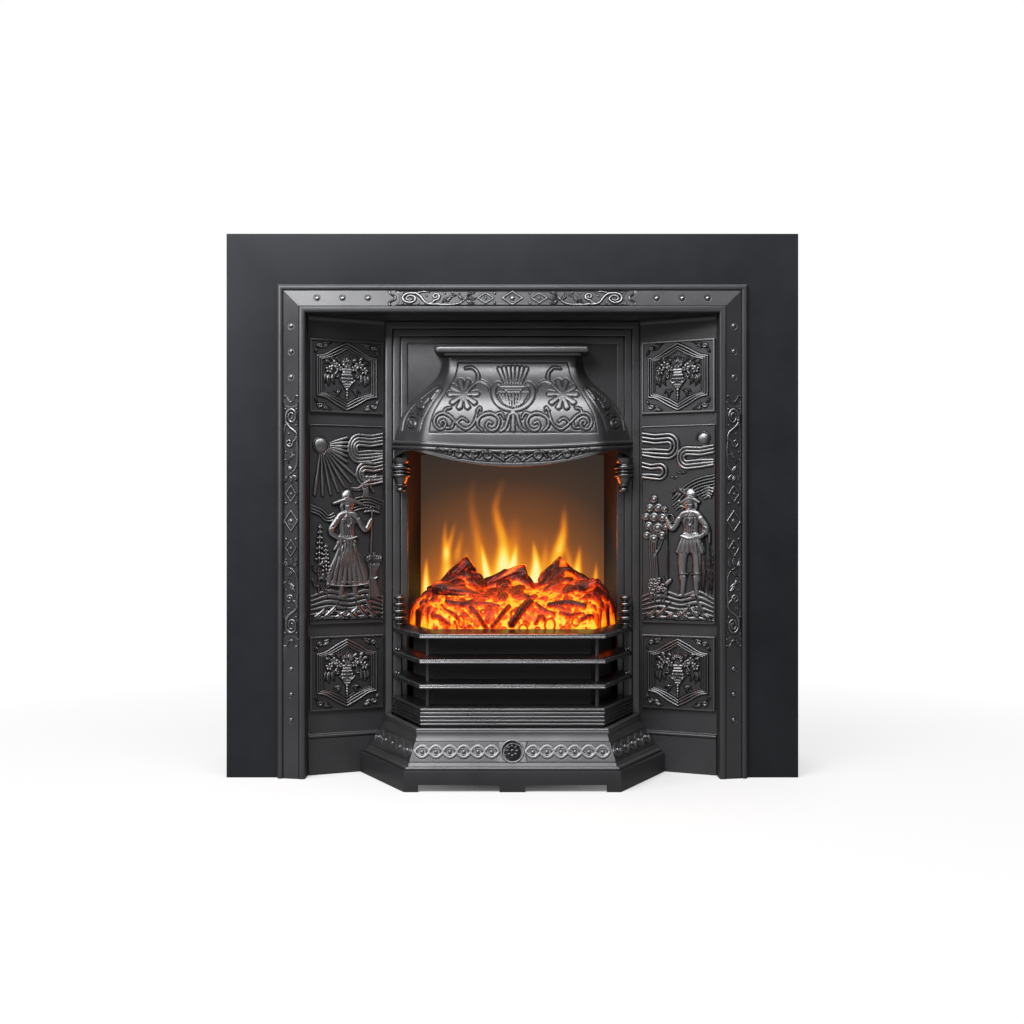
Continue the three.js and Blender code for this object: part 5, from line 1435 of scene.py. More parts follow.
def canopy():
    plan = CanopyPlan(1.12 * COARSE)
    carving = canopy_carving()
    rim, valance = plan.rim(), plan.valance()

    def shell(name, outer, inner, stands_for=()):
        rows = np.array([plan.row(*row) for row in outer])
        px, pz = in_picture(rows)
        high = carving.read(px, pz)
        seen = (px > 391) & (px < 635) & (pz > -469) & (pz < -353)
        high = np.where(seen, high, 0)
        front = carved(rows, high)
        lining = np.array([plan.row(*row) for row in inner])
        points = np.concatenate([front, lining])
        polish = np.zeros(points.shape[:2])
        # The canopy is burnished evenly, and its carved grooves are darker as painted shade.
        polish[:len(rows)] = 0.62 + 0.62 * np.clip(high / 1.2, -1, 0)
        piece = bent_grid(name, points, wrap=True, tints={"polish": polish})
        return done(piece, "surround", finish["hood"], stands_for, 50)

    count = int(205 / (1.12 * COARSE))
    outer = []
    for t in np.linspace(0, 1, count):
        s, down = bell(t)
        outer.append((s, mix(HOOD_TOP, rim, down), 0))
    inner = []
    for t in np.linspace(1, 0, 12):
        s, down = bell(t)
        inner.append((s, mix(HOOD_TOP, rim, down) - HOOD_WALL * (1 - down) - 0.1, -HOOD_WALL))
    shell("canopy_bell", outer, inner, ["hood"])
    # The lid is a plate from the bell's top edge back to the wall
    front = plan.row(0, HOOD_TOP, 0)
    back = front.copy()
    back[:, 1] = FIELD_FACE - 0.3
    under, under_back = front - (0, 0, HOOD_WALL), back - (0, 0, HOOD_WALL)
    lid = bent_grid("canopy_lid", np.stack([back, front, under, under_back]), wrap=True)
    done(lid, "surround", finish["hood"], shine=0.7)

    beads = [(0, 0.3), (0, -0.4)]
    for start in (0.7, 9.0):
        for k in range(9):
            turn = math.pi * k / 8
            beads.append((4.2 * math.sin(turn) + 0.2, -start - 3.7 * (1 - math.cos(turn))))
    beads += [(0.1, 0.4 - RIM_DEEP), (0, -RIM_DEEP)]
    outer = [(1, rim + down, out) for out, down in beads]
    rows = int(45 / (1.1 * COARSE))
    for t in np.linspace(0.02, 1, rows):
        outer.append((1, mix(rim - RIM_DEEP, valance, t), 0))
    inner = [(1, valance - 0.6, -0.7), (1, valance - 0.6, -HOOD_WALL + 0.7), (1, valance, -HOOD_WALL),
             (1, mix(valance, rim, 0.5), -HOOD_WALL), (1, rim, -HOOD_WALL)]
    shell("canopy_valance", outer, inner)


def ledge():
    low, high = LEDGE_Z
    nose, wall = 9, FIELD_FACE - 0.3
    turn = np.linspace(0, math.pi / 2, 7)

    def outline(inset):
        half, front = LEDGE_HALF - inset, LEDGE_FRONT + inset
        right = [(half - nose + nose * math.sin(t), front + nose * (1 - math.cos(t))) for t in turn]
        return [(-half, wall), *[(-x, y) for x, y in reversed(right)], *right, (half, wall)]

    rings = []
    for k in range(13):
        turn_up = math.pi * (k / 12 - 0.5)
        inset = 5 * (1 - math.cos(turn_up)) ** 1.5
        z = mix(low, high, 0.5 + 0.5 * math.sin(turn_up))
        rings.append([(x, y, z) for x, y in outline(inset)])
    neck = [[(x, y, z) for x, y in outline(inset)] for inset, z in ((15, 756.5), (14, low))]
    done(loft("ledge_moulding", rings), "surround", finish["hood"], ["hood_ledge"], 40, 0.9)
    done(loft("ledge_neck", neck), "surround", finish["hood"], shine=0.7)


def smooth_profile(pairs):
    """A turned profile with rounded members, through (radius, height) pairs."""
    line = route(pairs, 3 * (len(pairs) - 1))
    return [(max(radius, 0.3), height) for radius, height in line]


def corbels():
    shape = [
        (0.4, 0), (4.4, 0.7), (6.8, 3.6), (6.4, 7.6), (4.8, 10.4), (5.2, 11.6), (8.6, 12.2), (9.6, 13.6),
        (8.6, 15), (7.4, 15.8), (9.6, 21), (12, 27.4), (14.6, 28.4), (15.6, 30.6), (15, 33), (12.2, 34.2),
        (12.6, 35.6), (14.4, 36.8), (14.2, 39), (12, 40.2), (12.6, 41.6), (15.2, 42.8), (15.9, 45.6),
        (15, 48.4), (11.4, 50), (10.8, 52.6), (12.6, 57), (13.6, 62.6),
    ]
    for side, word in SIDES:
        foot = (side * CORBEL_X, CORBEL_DEPTH, CORBEL_FOOT)
        wide = [(1.24 * radius, height) for radius, height in smooth_profile(shape)]
        piece = turned(f"{word}_pendant", wide, foot, 44)
        tool = rounded("wall_tool", (side * CORBEL_X - 30, WALL, CORBEL_FOOT - 5),
                       (side * CORBEL_X + 30, WALL + 60, CORBEL_FOOT + 90), 0.5)
        cut(piece, tool)
        done(piece, "surround", finish["ornament"], [f"{word}_corbel"], 45, 0.5)


# ================= Basket front =================

def splay(plan, inset=0.0):
    """The four corners of a splayed plan, moved inwards: wall end, front, front, wall end."""
    half, front, back_half, back = plan
    run_x, run_y = back_half - half, back - front
    along = math.hypot(run_x, run_y)
    end = back_half - inset * along / run_y
    corner = half - inset * (along - run_x) / run_y
    return [(-end, back), (-corner, front + inset), (corner, front + inset), (end, back)]


def splayed_sweep(name, plan, section):
    """A section of (inset, height) swept along a splayed plan."""
    rings = []
    for corner in range(4):
        rings.append([(*splay(plan, inset)[corner], z) for inset, z in section])
    return loft(name, rings)


def bar_shine(points):
    """The nosing of a bar is worn bright and carries a painted highlight, its flat top less so."""
    x, y, _ = points.T
    half, front, back_half, back = BAR_PLAN
    run_x, run_y = back_half - half, back - front
    from_side = (run_y * (back_half - np.abs(x)) - run_x * (back - y)) / math.hypot(run_x, run_y)
    inset = np.minimum(y - front, from_side)
    return 0.95 - 0.5 * smooth((inset - 1.2) / 3)


def rivet(x, y, z):
    deselect()
    at = (x * MM, (y + PLATE_FACE) * MM, z * MM)
    bpy.ops.mesh.primitive_uv_sphere_add(segments=16, ring_count=10, radius=3 * MM, location=at)
    bpy.ops.object.transform_apply(location=True, rotation=True, scale=True)
    return bpy.context.object


def basket():
    section = [
        (2, 0.2), (0.9, 0.3), (0.2, 1.0), (0, 2.0), (0.25, 3.1), (1.0, 3.8), (1.1, 4.2), (0.4, 4.5),
        (0, 5.4), (0.1, 6.4), (0.7, 7.4), (1.8, 8.1), (4, 8.9), (BAR_WIDE - 2, 14.7), (BAR_WIDE - 0.6, 14.8),
        (BAR_WIDE, 14), (BAR_WIDE, 10), (BAR_WIDE - 1.5, 8.2), (8, 0.9),
    ]
    for name, z in BAR_HEIGHTS.items():
        piece = splayed_sweep(f"{name}_rail", BAR_PLAN, [(inset, z + up) for inset, up in section])
        if name != "top_bar":
            rivets = [rivet(side * x, y, z + 12) for side in (-1, 1) for x, y in ((206, 52), (212, 66))]
            piece = together(f"{name}_rail", [piece, *rivets])
        done(piece, "basket_front", finish["ornament"], [name], 40, bar_shine)
    shape = [(FINIAL_RADIUS * out, FINIAL_TALL * up) for out, up in (
        (0.42, -0.16), (0.42, 0), (0.72, 0.01), (0.72, 0.03), (0.5, 0.07), (0.56, 0.1), (0.94, 0.13),
        (1, 0.18), (0.96, 0.23), (0.8, 0.27), (0.5, 0.3), (0.5, 0.34), (0.84, 0.37), (0.93, 0.42),
        (0.84, 0.48), (0.5, 0.52), (0.44, 0.57), (0.7, 0.61), (0.8, 0.66), (0.7, 0.72), (0.4, 0.76),
        (0.38, 0.8), (0.6, 0.84), (0.68, 0.9), (0.52, 0.96), (0.2, 0.995), (0.03, 1),
    )]
    for side, word in SIDES:
        foot = (side * FINIAL_X, FINIAL_DEPTH, FINIAL_FOOT)
        piece = turned(f"{word}_turned_finial", smooth_profile(shape), foot, 40)
        done(piece, "basket_front", finish["ornament"], [f"{word}_finial"], 45, 0.5)


# ================= Shelf and plinth =================

def levels(name, rows):
    """A solid from plans stacked up: (z, four or more corners)."""
    return loft(name, [[(x, y, z) for x, y in plan] for z, plan in rows])


def shelf():
    rows = [(PLINTH_TOP + 0.3, splay(SHELF_PLAN, 3.4)), (PLINTH_TOP + 0.7, splay(SHELF_PLAN, 3))]
    foot = SHELF_TOP - RIB_COUNT * RIB_PITCH
    rows.append((foot, splay(SHELF_PLAN, 3)))
    for k in range(RIB_COUNT):
        z = foot + k * RIB_PITCH
        rows.append((z + 0.2, splay(SHELF_PLAN, 2.6)))
        for step in range(7):
            turn = math.pi * step / 6
            inset = 2.4 * (1 - math.sin(turn))
            rows.append((z + 0.6 + (RIB_PITCH - 1.2) * (1 - math.cos(turn)) / 2, splay(SHELF_PLAN, inset)))
    rows.append((SHELF_TOP, splay(SHELF_PLAN, 3)))
    done(levels("ribbed_shelf", rows), "surround", finish["ornament"], ["grate_shelf"], 40, 0.75)


def plinth_plan(half, front, back_half, out=0.0):
    reach = back_half + out
    panel = REVEAL_DEPTH + 0.3 + (OPEN_HALF - reach) * math.tan(PANEL_TURN)
    panel = panel - 6 / math.cos(PANEL_TURN)
    return half + out, front - out, reach, min(WALL, panel - 0.3)


def slope_plan(z, out=0.0):
    t = (z - SLOPE_FOOT) / (NOSING_Z - SLOPE_FOOT)
    return plinth_plan(*(mix(a, b, t) for a, b in zip(PLINTH["slope"], PLINTH["top"])), out)


def knob_frame(points):
    """From the rosette's own frame (across, up the slope, outwards) to the fireplace's."""
    x, up, out = np.moveaxis(np.asarray(points, float), -1, 0)
    cos, sin = math.cos(SLOPE_LEAN), math.sin(SLOPE_LEAN)
    face = slope_plan(KNOB_Z)[1]
    return np.stack([x, face + up * sin - out * cos, KNOB_Z + up * cos + out * sin], -1)


def disc_tool(name, radius, deep, centre=(0, 0), sides=64):
    """A cutter along the rosette's axis."""
    turn = np.linspace(0, 2 * math.pi, sides, endpoint=False)
    rings = []
    for out in (-deep, 30):
        ring = [(centre[0] + radius * math.cos(a), centre[1] + radius * math.sin(a), out) for a in turn]
        rings.append(knob_frame(ring))
    return loft(name, rings)


def plinth():
    foot = PLINTH["foot"]
    rows = [
        (0, plinth_plan(*foot)), (KICK_TOP - 1, plinth_plan(*foot)),
        (KICK_TOP - 0.2, plinth_plan(*foot, -0.4)), (KICK_TOP + 0.2, plinth_plan(*foot, -1.6)),
        (KICK_TOP + 0.7, plinth_plan(*foot, -1.8)),
    ]
    slope = PLINTH["slope"]
    for k in range(7):
        turn = math.pi * k / 6
        z = KICK_TOP + 1 + 5.6 * (1 - math.cos(turn)) / 2
        rows.append((z, plinth_plan(*slope, 2.6 + 2.2 * math.sin(turn) - 0.25 * k)))
    rows += [(SLOPE_FOOT + 1.2, slope_plan(SLOPE_FOOT + 1.2))]
    for z in (48.6, 81.8):
        rows += [(z - 0.9, slope_plan(z - 0.9)), (z - 0.3, slope_plan(z - 0.3, -1.1)),
                 (z + 0.3, slope_plan(z + 0.3, -1.1)), (z + 0.9, slope_plan(z + 0.9))]
    top = PLINTH["top"]
    rows += [(NOSING_Z - 5, slope_plan(NOSING_Z - 5)), (NOSING_Z - 2, slope_plan(NOSING_Z - 2, 0.6))]
    rows += [(NOSING_Z, plinth_plan(*top, 1.2))]
    for z, out in ((94.8, 2.1), (96.4, 2.6), (98, 2.3), (98.7, 1.5), (99.1, 1.5), (99.6, 2.2),
                   (100.8, 2.5), (102, 2.1), (102.7, 1.4), (103, 0.6)):
        rows.append((z, plinth_plan(*top, out)))
    rings = []
    for z, plan in rows:
        outer, inner = splay(plan), splay(plan, PLINTH_WALL)
        rings.append([(x, y, z) for x, y in [*outer, *reversed(inner)]])
    piece = loft("plinth_casting", rings)
    for side in (-1, 1):
        low = (min(side * a for a in FOOT_SLOT), foot[1] - 5, -5)
        high = (max(side * a for a in FOOT_SLOT), foot[1] + 2 * PLINTH_WALL, FOOT_SLOT_HIGH)
        cut(piece, rounded("slot_tool", low, high, 0.8))
    cut(piece, disc_tool("dish_tool", DISH_RADIUS, DISH_DEEP))
    cut(piece, disc_tool("hole_tool", 4.4, 20))
    for k in range(4):
        turn = math.pi / 2 * k
        centre = (10.5 * math.cos(turn), 10.5 * math.sin(turn))
        cut(piece, disc_tool("vent_tool", 3, 20, centre, sides=24))
    # The kick below the slope gets almost no polish: painted shade under the slope's overhang; the slope
    # above is burnished.
    done(piece, "plinth", finish["hood"], ["ashpan_cover"], 35,
         lambda points: 0.06 + 0.94 * smooth((points[:, 2] - SLOPE_FOOT + 6) / 8))


def ring_band(long, count, first, pitch):
    """Two ribbons that cross, with a bead in each eye, drawn along a band."""
    r = Relief((0, -16.4), (long, 16.4), 0.6)
    u = np.linspace(first, first + count * pitch, 40 * count)
    swing = 9.6 * np.abs(np.sin(math.pi * (u - first) / pitch)) ** 0.75
    for way in (-1, 1):
        r.stroke(np.stack([u, way * swing], 1), 2.7, 1.9, 0.18, curved=False)
    for k in range(count):
        middle = first + (k + 0.5) * pitch
        wide = pitch * 0.3
        t = np.linspace(0, 2 * math.pi, 50)
        eye = np.stack([middle + wide * np.cos(t), 5.6 * np.sin(t) * np.abs(np.sin(t)) ** 0.35], 1)
        r.stroke(eye, 1.1, 1.3, curved=False)
        r.stamp(middle, 0, 3.6, 3.0)
    r.incise(1.4, 1.2)
    return r


def ring_bands():
    cos, sin = math.cos(SLOPE_LEAN), math.sin(SLOPE_LEAN)
    middle_z = 65.2

    # Raised rings are burnished lighter, partly wear and partly a painted highlight; grooves are darker as
    # painted shade.
    def worn_and_shaded(high):
        return 0.55 + 0.45 * np.clip(high / 1.5, 0, 1) + 0.5 * np.clip(high / 1.2, -1, 0)

    def front_band(side, word):
        r = ring_band(150, 6, 2, 23.9)
        edge = DISH_RADIUS + 4.4
        z = middle_z + r.z * cos
        half = np.interp(z, (SLOPE_FOOT, NOSING_Z), (PLINTH["slope"][0], PLINTH["top"][0])) - 0.6
        fish = edge + 4.6 * (1 - np.sqrt(np.clip(1 - (r.z / 17) ** 2, 0, 1)))
        t = (r.x - r.across[0]) / (r.across[-1] - r.across[0])
        x = mix(fish, half, t)
        high = r.read((x - edge) * 150 / (mix(PLINTH["slope"][0], PLINTH["top"][0], 0.45) - edge), r.z)
        rim = np.minimum(t * 150, 3) / 3
        high = np.where(rim < 1, np.maximum(high, 0.9 * (1 - smooth(rim * 1.6))), high)
        face = mix(PLINTH["slope"][1], PLINTH["top"][1], (z - SLOPE_FOOT) / (NOSING_Z - SLOPE_FOOT))
        out = 0.35 + high
        front = np.stack([side * x, face - out * cos, z + out * sin], -1)
        piece = slab(f"{word}_front_rings", front, lambda p: p + (0, 2.6, 0), worn_and_shaded(high))
        done(piece, "plinth", finish["hood"], angle=50)

    def side_band(side, word):
        r = ring_band(190, 5, 4, 37)
        z = middle_z + r.z * cos
        corners = [splay(slope_plan(height)) for height in (SLOPE_FOOT, NOSING_Z)]
        (front_low, wall_low), (front_high, wall_high) = [(c[2], c[3]) for c in corners]
        up = ((z - SLOPE_FOOT) / (NOSING_Z - SLOPE_FOOT))[..., None]
        start = mix(np.array(front_low), np.array(front_high), up)
        stop = mix(np.array(wall_low), np.array(wall_high), up)
        along = ((r.x - r.across[0]) / (r.across[-1] - r.across[0]))[..., None] * 0.985 + 0.005
        plan = mix(start, stop, along)
        away = (stop - start) / np.linalg.norm(stop - start, axis=-1, keepdims=True)
        out = (0.35 + r.high)[..., None]
        normal = np.stack([away[..., 1], -away[..., 0]], -1) * cos
        flat = plan + normal * out
        front = np.stack([side * flat[..., 0], flat[..., 1], z + out[..., 0] * sin], -1)
        inner = np.array([-side * 2.4, 0.9, 0])
        piece = slab(f"{word}_side_rings", front, lambda p: p + inner, worn_and_shaded(r.high))
        done(piece, "plinth", finish["hood"], angle=50)

    for side, word in SIDES:
        front_band(side, word)
        side_band(side, word)
    turn = np.linspace(0, 2 * math.pi, 72, endpoint=False)
    section = [(DISH_RADIUS, -0.6)]
    section += [(DISH_RADIUS + 1.9 * (1 - math.cos(a)), 1.7 * math.sin(a)) for a in np.linspace(0.2, 2.9, 8)]
    section += [(DISH_RADIUS + 4, -0.6)]
    rings = [knob_frame([(out * math.cos(a), out * math.sin(a), up) for out, up in section]) for a in turn]
    collar = loft("rosette_collar", [*rings, rings[0]])
    done(collar, "plinth", finish["hood"], angle=50, shine=0.9)


def rosette():
    """The air control: a black domed flower in its dish, eight petals round a button."""
    around = np.linspace(0, 2 * math.pi, 145)[:-1]
    out = np.concatenate([np.linspace(0, 0.97, 34), [0.99, 1.0, 1.0, 0.97]])
    turn, share = np.meshgrid(around, out, indexing="ij")
    petal = np.abs(np.cos(4 * turn)) ** 0.5
    body = 3.4 * np.sqrt(np.clip(1 - share ** 2, 0, 1)) + 0.2
    rise = 1.9 * petal * np.exp(-((share - 0.6) / 0.24) ** 2)
    rise = rise - 0.7 * np.exp(-((share - 0.86) / 0.05) ** 2)
    button = 1.9 * np.sqrt(np.clip(1 - (share / 0.27) ** 2, 0, 1))
    high = body + rise - 0.8 * np.exp(-((share - 0.31) / 0.05) ** 2) + button
    high[:, -3] = -0.5
    high[:, -2] = -2.6
    high[:, -1] = -3.0
    radius = KNOB_RADIUS * share
    points = knob_frame(np.stack([radius * np.cos(turn), radius * np.sin(turn), high], -1))
    axis = knob_frame(np.broadcast_to((0, 0, -3.0), (len(around), 1, 3)))
    piece = bent_grid("rosette_knob", np.concatenate([points, axis], axis=1), wrap=True)
    done(piece, "air_control", finish["rosette"], ["vent_knob"], 50)


# ================= Fire =================

# The heap's outline against the flames, as (across, height) in millimetres
HEAP_CREST = (
    (-190, 318), (-168, 321), (-150, 334), (-136, 339), (-110, 352), (-84, 369), (-62, 359), (-47, 344),
    (-30, 349), (-14, 357), (-2, 360), (12, 364), (24, 357), (38, 341), (52, 344), (66, 357), (80, 372),
    (95, 378), (108, 370), (120, 357), (136, 349), (154, 349), (168, 338), (178, 325), (190, 318),
)


# Twigs along the heap's front, as their lines in (across, along), radii and heights
TWIGS = (
    (((-92, 52), (-74, 30), (-56, 8)), (5.5, 5.0, 6.0), 11),
    (((-8, 56), (-28, 34), (-46, 18)), (5, 4.6, 5), 10),
    (((36, 70), (18, 44), (-2, 22)), (9, 8.5, 8), 13),
    (((-104, 60), (-60, 66), (-30, 58)), (4, 4.6, 3), 9),
    (((82, 60), (120, 66), (158, 58)), (7, 8, 6), 12),
    (((52, 66), (70, 48), (94, 40)), (4, 5, 4), 9),
    (((-150, 50), (-128, 34), (-108, 14)), (4, 5, 4), 9),
    (((108, 42), (134, 36), (160, 42)), (4, 5, 3.4), 9),
    (((-140, 70), (-112, 62), (-84, 72)), (7, 8, 6), 11),
    (((-176, 44), (-160, 30), (-146, 22)), (6, 7, 5), 9),
    (((150, 26), (164, 34), (178, 46)), (5, 6, 5), 9),
    (((54, 24), (64, 34), (76, 28)), (5, 6, 5), 9),
)

# Cut rings among them, as (across, along, half width, half height)
CUT_RINGS = (
    (25, 14, 9, 7), (87, 20, 12, 11), (146, 26, 11, 7), (-118, 26, 7, 9), (-20, 12, 5, 4),
    (118, 12, 6, 5), (-66, 44, 5, 4), (58, 12, 5, 4), (2, 40, 5, 6),
)


def bed_half(depth):
    """Half the heap's width. In front of the frame it stays inside the bars, so that they can lift."""
    mouth, back = INNER_HALF - 44.5, INNER_HALF - 60
    inner = mix(mouth, back, (depth - FRAME_FACE) / (BED_DEPTHS[1] - FRAME_FACE))
    corner, end = splay(BAR_PLAN, BAR_WIDE + 3.5)[2:]
    outer = np.interp(depth, (corner[1], end[1]), (corner[0], end[0]))
    return np.where(depth > FRAME_FACE, inner, np.minimum(outer, mouth))


def heap(x_share, along):
    """A point on the bare heap: across from -1 to 1, and along from the front lip to the back."""
    front, back = BED_DEPTHS
    path = route([(front + 0.5, BED_LOW), (front + 1, 268), (-42, 290), (-18, 307), (24, 318),
                  (70, 328), (92, 331), (120, 322), (back, 318)], 120)
    steps = np.hypot(*np.diff(path, axis=0).T)
    length = np.concatenate([[0], np.cumsum(steps)])
    depth = np.interp(along, length, path[:, 0])
    z = np.interp(along, length, path[:, 1])
    x = (1.25 * x_share - 0.25 * x_share ** 3) * bed_half(depth)
    crest = np.interp(x, *np.transpose(HEAP_CREST)) - 334
    lift = np.exp(-(((depth - 88) / 34) ** 2)) + 0.42 * np.exp(-(((depth - 30) / 30) ** 2))
    z = z + crest * lift * np.clip((z - BED_LOW) / 20, 0, 1)
    z = BED_LOW + (z - BED_LOW) * np.sqrt(np.clip(1 - np.abs(x_share) ** 11, 0.0004, 1))
    return np.stack([x, depth, z], -1), length[-1]


def across(x):
    """Where on the heap's relief a place lies, because the heap is stretched in its middle."""
    share = np.linspace(-1, 1, 101)
    return float(np.interp(x, BED_HALF * (1.25 * share - 0.25 * share ** 3), BED_HALF * share))


def loose_coals(r, long):
    """Lumps and crumbs thrown over the heap, larger towards its back."""
    rng = np.random.default_rng(11)
    for _ in range(430):
        x, s = rng.uniform(-184, 184), rng.uniform(8, long - 4)
        radius = rng.uniform(3.4, 9.5) * (1 if s < 90 else 1.35)
        turn, reach = rng.uniform(0, math.pi), rng.uniform(0.2, 1.2) * radius
        bend = rng.uniform(-0.5, 0.5) * reach
        line = [(x - reach * math.cos(turn), s - reach * math.sin(turn)),
                (x + bend * math.sin(turn), s - bend * math.cos(turn)),
                (x + reach * math.cos(turn), s + reach * math.sin(turn))]
        tall = rng.uniform(2.5, 7) * (1 if s < 90 else 1.5)
        r.stroke(line, [radius * 0.7, radius, radius * 0.6], tall, 0.45)
    for _ in range(900):
        x, s = rng.uniform(-184, 184), rng.uniform(2, long - 4)
        r.stamp(x, s, rng.uniform(2.2, 4.6), rng.uniform(1.5, 4.5), 0.4)


def twigs(r):
    for line, radius, high in TWIGS:
        line = [(across(x), s) for x, s in line]
        r.stroke(line, radius, high, 0.5)
        for side in (-0.45, 0.45):
            r.stroke(beside(line, side * radius[1]), 0.9, -1.8, curved=False)
    for x, s, wide, tall in CUT_RINGS:
        r.stamp(across(x), s, max(wide, tall) + 1.5, -4, 0.3)
        r.ring(across(x), s, wide * 0.85, tall, 2.6, 9.5)


def coal_glow_light(lumps, lifted):
    """How brightly each place glows with painted light, from 0 to 1: what lies deep, or low down, glows
    yellow.
    """
    x, _, z = np.moveaxis(lifted, -1, 0)
    low_down = np.clip((332 - z) / 70, 0, 1)
    leaning_back = np.gradient(lifted[..., 1], axis=0) / 1.2
    light_level = 0.93 - 0.82 * np.clip(lumps / 10, 0, 1.1) ** 0.7 + 0.16 * low_down ** 3
    light_level -= 0.24 * np.clip((z - 322) / 50, 0, 1)
    light_level -= 0.3 * np.clip((np.abs(x) - 140) / 40, 0, 1)
    light_level = np.where(z < PLAIN_TOP, 0.3, light_level)
    light_level -= 0.1 * np.clip(leaning_back, 0, 1) * (1 - low_down)
    return np.clip(light_level, 0, 1)


def fuel_bed():
    """Moulded coals, twigs and cut rings on a heap."""
    long = heap(0.0, 0.0)[1]
    r = Relief((-BED_HALF, 0), (BED_HALF, long), 1.1)
    loose_coals(r, long)
    twigs(r)
    lumps = r.high
    points, _ = heap(r.x / BED_HALF, r.z)
    edge = np.minimum((BED_HALF - np.abs(r.x)) / 12, (long - r.z) / 7)
    # Low down the front stays plain, so that the bars pass it as the basket is lifted
    edge = np.minimum(edge, (points[..., 2] - PLAIN_TOP) / 30)
    lifted = carved(points, lumps * smooth(edge) * 0.85)

    def down(edge_points):
        edge_points = edge_points.copy()
        edge_points[:, 2] = BED_LOW - 0.3
        return edge_points

    piece = slab("ember_bed", lifted, down, warmth=coal_glow_light(lumps, lifted))
    done(piece, "surround", finish["ember"], ["fuel_bed"], 60)


def bark_relief(rng, turn, along, long, radius):
    """Ridges of bark, and all that the bark swells by: ridges, lumps and knots; with them the painted glow
    light in the cracks between the ridges.
    """
    bark = np.zeros_like(along)
    for _ in range(7):
        waves, sway = rng.integers(5, 17), rng.uniform(0.03, 0.12)
        bark += np.abs(np.sin(waves * turn / 2 + sway * along + rng.uniform(0, 6))) ** 0.5 / 7
    lumps = np.zeros_like(along)
    for _ in range(4):
        lumps += np.sin(rng.integers(1, 4) * turn + rng.uniform(0.05, 0.2) * along + rng.uniform(0, 6))
    knots = np.zeros_like(along)
    for _ in range(4):
        place, side = rng.uniform(0.1, 0.9) * long, rng.uniform(0, 2 * math.pi)
        knots += np.exp(-(((along - place) / 5) ** 2 + (2 * np.sin((turn - side) / 2) * radius / 5) ** 2))
    light_level = np.clip(1.0 - 1.15 * bark + 0.16 * lumps, 0, 1)
    return 0.16 * (bark - 0.6) + 0.045 * lumps + 0.16 * knots, light_level


def log(place, line, thick, seed):
    """A burnt branch along a line: ridged bark, cracks that glow, and ringed cut ends."""
    line = route(line, 60)
    steps = np.concatenate([[0], np.cumsum(np.linalg.norm(np.diff(line, axis=0), axis=1))])
    long = steps[-1]
    count, around = max(int(long / (1.1 * COARSE)), 8), int(70 / COARSE)
    along = np.linspace(0, long, count)
    spine = np.stack([np.interp(along, steps, line[:, k]) for k in range(3)], 1)
    ahead = np.gradient(spine, axis=0)
    ahead /= np.linalg.norm(ahead, axis=1, keepdims=True)
    side = np.cross((0, 1, 0.2), ahead)
    side /= np.linalg.norm(side, axis=1, keepdims=True)
    over = np.cross(ahead, side)
    u, a = np.meshgrid(along, np.linspace(0, 2 * math.pi, around, endpoint=False), indexing="ij")
    radius = np.interp(along / long, np.linspace(0, 1, len(thick)), thick)[:, None]
    swell, light_level = bark_relief(np.random.default_rng(seed), a, u, long, radius)
    far = radius * (1 + swell) * (1 - 0.2 * np.exp(-np.minimum(u, long - u) / 1.5))
    round_it = np.cos(a)[..., None] * side[:, None] + np.sin(a)[..., None] * over[:, None]
    skin = spine[:, None] + far[..., None] * round_it
    rows, light_levels = [skin], [light_level]
    for end in (0, -1):
        for share in (0.86, 0.7, 0.52, 0.34, 0.16, 0.0):
            ripple = 0.5 * math.sin(share * 26)
            ring = spine[end] + share * (skin[end] - spine[end])
            ring = ring + ahead[end] * (ripple if end else -ripple)
            at = len(rows) if end else 0
            rows.insert(at, ring[None])
            light_levels.insert(at, np.full((1, around), 0.35 + 0.3 * (ripple > 0)))
    points = np.swapaxes(np.concatenate(rows), 0, 1)
    light_levels = np.swapaxes(np.concatenate(light_levels), 0, 1)
    piece = bent_grid(f"bark_{place}", points, wrap=True, tints={"warmth": light_levels})
    done(piece, "surround", finish["log"], [f"{place}_log"], 60)


def fire():
    fuel_bed()
    log("front_left", [(-142, 34, 337), (-96, 24, 326), (-52, 18, 312)], [13, 14, 12], 3)
    log("back_left", [(-132, 96, 328), (-104, 93, 356), (-74, 92, 378)], [13, 15, 16], 4)
    log("back_middle", [(-50, 84, 338), (-10, 82, 352), (28, 80, 360)], [12, 15, 15], 5)
    log("back_right", [(54, 92, 338), (76, 91, 360), (98, 90, 382)], [12, 15, 16], 6)
    log("front_right", [(62, 30, 316), (108, 38, 331), (152, 42, 340)], [12, 14, 13], 7)


